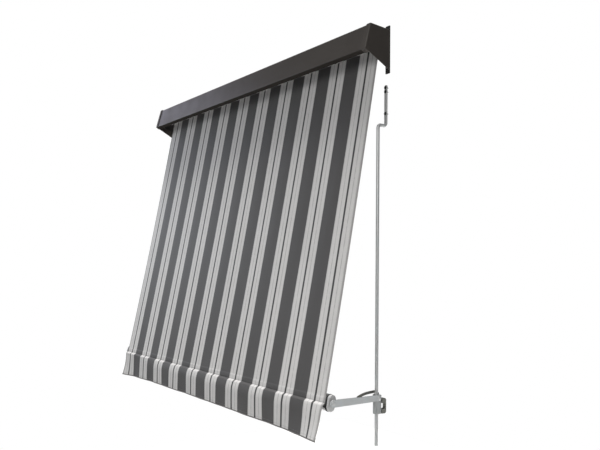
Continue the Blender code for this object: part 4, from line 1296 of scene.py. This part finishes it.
def canopy():
    """Taut from the roll to the bar: a slight belly and faint drawn ripples."""
    columns, rows = 300, 130
    u = np.linspace(-FABRIC_HALF, FABRIC_HALF, columns)
    s_ = np.linspace(0, 1, rows)
    s_ = 1 - (1 - s_) ** 1.15
    U, S = np.meshgrid(u, s_)
    belly = np.sin(np.pi * S)
    lift = -0.0028 * belly
    lift += belly**0.8 * waves(U + 0.05 * S, [(0.00075, 0.362, 0.4), (0.00045, 0.181, 1.9), (0.0003, 0.091, 0.3)])
    edge = np.clip((np.abs(U) - 0.835) / 0.033, 0, 1)
    lift += -0.0014 * edge**2 * belly
    Y = canopy_start.x + across.x * S + face_dir.x * lift
    Z = canopy_start.y + across.y * S + face_dir.y * lift
    points = np.stack([U, Y, Z], -1)
    uvs = np.stack([U, S * CANOPY_LENGTH], -1)
    mesh = cloth_mesh("canopy_cloth", points, uvs, CLOTH)
    obj = piece("canopy_cloth", mesh, FABRIC, "frame", "striped_fabric", "canopy", weighted=False)
    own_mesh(obj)


canopy()

r1, r2 = LAY, KEDER_R + GAP + CLOTH / 2
start_angle = math.atan2(fold.y, fold.x)
LEAVE_SLANT = 24.0
leave_angle = math.pi - math.radians(LEAVE_SLANT)

HEM_FOLD, HEM_R = 0.013, 0.0011


def valance():
    """Down the bar's face and over its channel, then loose to a hem that is turned up behind."""
    flat_angle = math.pi - BAR_LEAN
    line = [
        tuple(TOP2 + r1 * Vector((math.cos(start_angle), math.sin(start_angle)))),
        tuple(TOP2 + r1 * Vector((math.cos(flat_angle), math.sin(flat_angle)))),
    ]
    line = [tuple(Vector(line[0]).lerp(Vector(line[1]), k / 4)) for k in range(4)]
    line += [tuple(CENTRE + OUT2 * r1 + UP2 * h) for h in (0.0135, 0.0100, 0.0065, 0.0030, 0.0004, -0.0016)]
    turn_in = flat_angle - math.radians(48)
    channel = arc(tuple(KEDER), r2, turn_in, leave_angle, 12)
    bend = smooth_line([line[-2], tuple(CENTRE + OUT2 * (r1 + 0.0001) - UP2 * 0.0034), channel[0], channel[1]], 6)
    line += [q for q in bend if q[1] < line[-1][1] - 0.0004 and q[1] > channel[0][1] + 0.0001]
    line += channel
    root = Vector(line[-1])
    columns = 420
    u = np.linspace(-FABRIC_HALF, FABRIC_HALF, columns)

    def ease(a, b, x):
        t = np.clip((x - a) / (b - a), 0, 1)
        return t * t * (3 - 2 * t)

    # height of the hem across the cloth, as the loose strip hangs
    knots = [-0.8677, -0.76, -0.68, -0.50, -0.20, 0.04, 0.30, 0.50, 0.68, 0.78, 0.8677]
    levels = [-1.4405, -1.4390, -1.4380, -1.4345, -1.4360, -1.4375, -1.4415, -1.4437, -1.4470, -1.4487, -1.4442]
    low_edge = np.interp(u, knots, levels)
    low_edge = np.convolve(np.pad(low_edge, 20, mode="edge"), np.ones(41) / 41, mode="valid")
    bulge = 1 - 0.95 * (1 - ease(-0.78, -0.38, u)) - 0.45 * ease(0.45, 0.75, u)
    kick = 0.0215 * np.clip((u - 0.62) / (FABRIC_HALF - 0.62), 0, 1) ** 1.25
    kick = kick + 0.0190 * np.clip((-u - 0.735) / (FABRIC_HALF - 0.735), 0, 1) ** 1.3
    flare = 0.0095 * np.clip((u - 0.72) / (FABRIC_HALF - 0.72), 0, 1) ** 1.6
    reach_d = np.linspace(0, 0.20, 401)
    slant = math.radians(LEAVE_SLANT) * np.clip(1 - reach_d / 0.038, 0, 1)
    slant = slant - math.radians(1.1) * ease(0.045, 0.085, reach_d)
    out_d = np.concatenate([[0], np.cumsum(np.sin(slant[1:]) * np.diff(reach_d))])
    fall = root.y - low_edge - HEM_R
    length = fall + 0.0013 * bulge + kick**2 / 0.22
    folds = [(0.0014, 0.345, 0.8), (0.0008, 0.212, 2.2), (0.0006, 0.118, 0.4)]
    drift = [(0.0014, 0.41, 1.1), (0.0008, 0.23, 0.2)]
    rows = []
    ways = []
    way = 0.0
    for i, (y, z) in enumerate(line):
        if i:
            way += math.dist(line[i - 1], line[i])
        rows.append((u, np.full(columns, y), np.full(columns, z)))
        ways.append(np.full(columns, way))

    def at(t):
        """The free part, t from the channel to the hem, one value or one for each column."""
        t = np.broadcast_to(t, u.shape)
        out = bulge * np.interp(t * length, reach_d, out_d) + kick * t**2 + flare * t
        out = out + waves(u + 0.012 * t, folds) * t**1.5
        shift = waves(u, drift) * t**1.6 * np.clip((FABRIC_HALF - np.abs(u)) / 0.12, 0, 1)
        return u + shift, root.x - out, root.y - fall * (t - 0.010 * np.sin(math.pi * t) * bulge)

    steps = 34
    for i in range(1, steps + 1):
        t = i / steps
        rows.append(at(t))
        ways.append(way + length * t)
    x, y, z = rows[-1]
    _, y_b, z_b = rows[-2]
    dy, dz = y - y_b, z - z_b
    size = np.hypot(dy, dz)
    dy, dz = dy / size, dz / size
    back_y, back_z = -dz, dy  # towards the wall
    if back_y.mean() < 0:
        back_y, back_z = -back_y, -back_z
    base = ways[-1]
    for k in range(1, 9):
        a = math.pi * k / 8
        fwd, side_ = HEM_R * math.sin(a), HEM_R * (1 - math.cos(a))
        rows.append((x, y + dy * fwd + back_y * side_, z + dz * fwd + back_z * side_))
        ways.append(base + HEM_R * a)
    base = ways[-1]
    for k in range(1, 7):
        reach = HEM_FOLD * k / 6
        squeeze = 2 * HEM_R - 0.0010 * math.sin(math.pi * k / 6 * 0.5) ** 2
        xs, ys, zs = at(1 - reach / length)
        rows.append((xs, ys + back_y * squeeze, zs + back_z * squeeze))
        ways.append(base + reach)
    points = np.stack([np.stack(r, -1) for r in rows], 0)
    uvs = np.stack([np.broadcast_to(u, (len(rows), columns)), np.stack(ways, 0) + CANOPY_LENGTH], -1)
    mesh = cloth_mesh("valance_cloth", points, uvs, CLOTH)
    obj = piece("valance_cloth", mesh, FABRIC, "front_bar", "striped_fabric", "valance", weighted=False)

    # binding: a narrow U of tape sewn over the hem's edge
    front_t = [1 - k * 0.0011 / length for k in (2.6, 1.3, 0)]
    outer = []
    lift = CLOTH / 2 + 0.0004
    for t in front_t:
        xs, ys, zs = at(t)
        outer.append((xs, ys - back_y * lift, zs - back_z * lift))
    for k in range(1, 8):
        a = math.pi * k / 8
        r = HEM_R + lift
        outer.append(
            (
                x,
                y + back_y * HEM_R + dy * r * math.sin(a) - back_y * r * math.cos(a),
                z + back_z * HEM_R + dz * r * math.sin(a) - back_z * r * math.cos(a),
            )
        )
    for t in front_t[::-1]:
        xs, ys, zs = at(t)
        wide = 2 * HEM_R + lift
        outer.append((xs, ys + back_y * wide, zs + back_z * wide))
    points = np.stack([np.stack(r, -1) for r in outer], 0)
    zero = np.zeros(points.shape[:2] + (2,))
    tape = cloth_mesh("valance_binding", points, zero, 0.0005)
    piece("valance_binding", tape, TAPE, "front_bar", "striped_fabric", weighted=False)

    # stitches through the hem, a little inside its upper edge
    bm = bmesh.new()
    pitch, long_, t0 = 0.0042, 0.0030, 1 - (HEM_FOLD - 0.0030) / length
    xs, ys, zs = at(t0)
    place = -FABRIC_HALF + 0.004
    while place + long_ < FABRIC_HALF - 0.003:
        for face_sign, lift_ in ((-1, CLOTH / 2 + 0.00012),):
            ring_points = []
            for k in range(5):
                q = place + long_ * k / 4
                yy, zz = np.interp(q, u, ys), np.interp(q, u, zs)
                by, bz = np.interp(q, u, back_y), np.interp(q, u, back_z)
                dip = 0.00030 * abs(k - 2) / 2
                ring_points.append(
                    (
                        np.interp(q, u, xs),
                        yy + face_sign * by * (lift_ - dip),
                        zz + face_sign * bz * (lift_ - dip),
                    )
                )
            rings = [[bm.verts.new(p) for p in ring] for ring in wire_rings(ring_points, 0.00028, 6)]
            for one, two in zip(rings, rings[1:]):
                for k in range(6):
                    m = (k + 1) % 6
                    bm.faces.new((one[k], one[m], two[m], two[k]))
            bm.faces.new(rings[0][::-1])
            bm.faces.new(rings[-1])
        place += pitch
    mesh = mesh_from(bm, "valance_stitches")
    mesh.shade_smooth()
    piece("valance_stitches", mesh, THREAD, "front_bar", "striped_fabric", weighted=False)


valance()

# ---------------------------------------------------------------- nodes that stay as they are
for node, finish in (
    ("spring_shaft", ZINC),
    ("torsion_spring", SPRING),
    ("spring_carrier", BLACK_PLASTIC),
):
    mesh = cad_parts[node].data
    mesh.materials.clear()
    mesh.materials.append(finish)

# ---------------------------------------------------------------- floor and light
FLOOR, FLOOR_HALF = -2.40, 2.9
bm = bmesh.new()
bmesh.ops.create_grid(bm, x_segments=1, y_segments=1, size=FLOOR_HALF)
floor_mesh = mesh_from(bm, "floor")
floor = bpy.data.objects.new("floor", floor_mesh)
floor.location = (0.0, 0.0, FLOOR)
scene.collection.objects.link(floor)
n = Nodes("pale_floor")
speck = n.noise(n.place(), 3.0, 3.0, 0.5)
n.set(Base_Color=n.mix(speck, (0.77, 0.77, 0.77), (0.80, 0.80, 0.80)))
n.set(Roughness=0.9)
n.set(Specular_IOR_Level=0.1)
floor_mesh.materials.append(n.material)

world = bpy.data.worlds.new("studio")
scene.world = world
world.use_nodes = True
nodes, links = world.node_tree.nodes, world.node_tree.links
nodes.clear()
seen = nodes.new("ShaderNodeBackground")
seen.inputs["Color"].default_value = (1, 1, 1, 1)
seen.inputs["Strength"].default_value = 1.0
soft = nodes.new("ShaderNodeBackground")
soft.inputs["Color"].default_value = (0.97, 0.985, 1.0, 1)
soft.inputs["Strength"].default_value = 0.13
path = nodes.new("ShaderNodeLightPath")
either = nodes.new("ShaderNodeMixShader")
out = nodes.new("ShaderNodeOutputWorld")
links.new(path.outputs["Is Camera Ray"], either.inputs[0])
links.new(soft.outputs[0], either.inputs[1])
links.new(seen.outputs[0], either.inputs[2])
links.new(either.outputs[0], out.inputs[0])


def sun(name, towards, strength, spread, color):
    data = bpy.data.lights.new(name, "SUN")
    data.energy, data.angle, data.color = strength, math.radians(spread), color
    obj = bpy.data.objects.new(name, data)
    obj.rotation_mode = "QUATERNION"
    obj.rotation_quaternion = Vector(towards).to_track_quat("-Z", "Y")
    obj.location = (0, -2, 3)
    scene.collection.objects.link(obj)


def softbox(name, place, target, size, power, color):
    data = bpy.data.lights.new(name, "AREA")
    data.shape, data.size, data.size_y = "RECTANGLE", size[0], size[1]
    data.energy, data.color = power, color
    obj = bpy.data.objects.new(name, data)
    obj.location = place
    obj.rotation_mode = "QUATERNION"
    obj.rotation_quaternion = (Vector(target) - Vector(place)).to_track_quat("-Z", "Y")
    scene.collection.objects.link(obj)


sun("overhead", (0.06, 0.03, -1.0), 4.0, 20, (1.0, 0.985, 0.965))
sun("overhead_front", (0.10, 0.17, -0.98), 0.45, 20, (1.0, 0.985, 0.965))
softbox("left_side", (-3.5, -0.82, 1.12), (-0.6, -0.1, -0.3), (1.1, 1.1), 7.5, (0.82, 0.82, 1.0))
softbox("left_low", (-3.4, -1.5, -0.1), (-0.6, -0.1, -0.8), (1.2, 1.2), 25, (0.86, 0.92, 1.0))
softbox("right_front", (2.8, -2.6, 0.5), (0.4, -0.2, -0.75), (1.6, 1.6), 50, (1.0, 0.99, 0.975))
softbox("right_rear", (3.5, 2.1, -1.95), (0.9, -0.15, -1.2), (2.2, 2.2), 11.5, (1.0, 1.0, 1.0))

scene.view_settings.view_transform = "Standard"
scene.view_settings.look = "None"
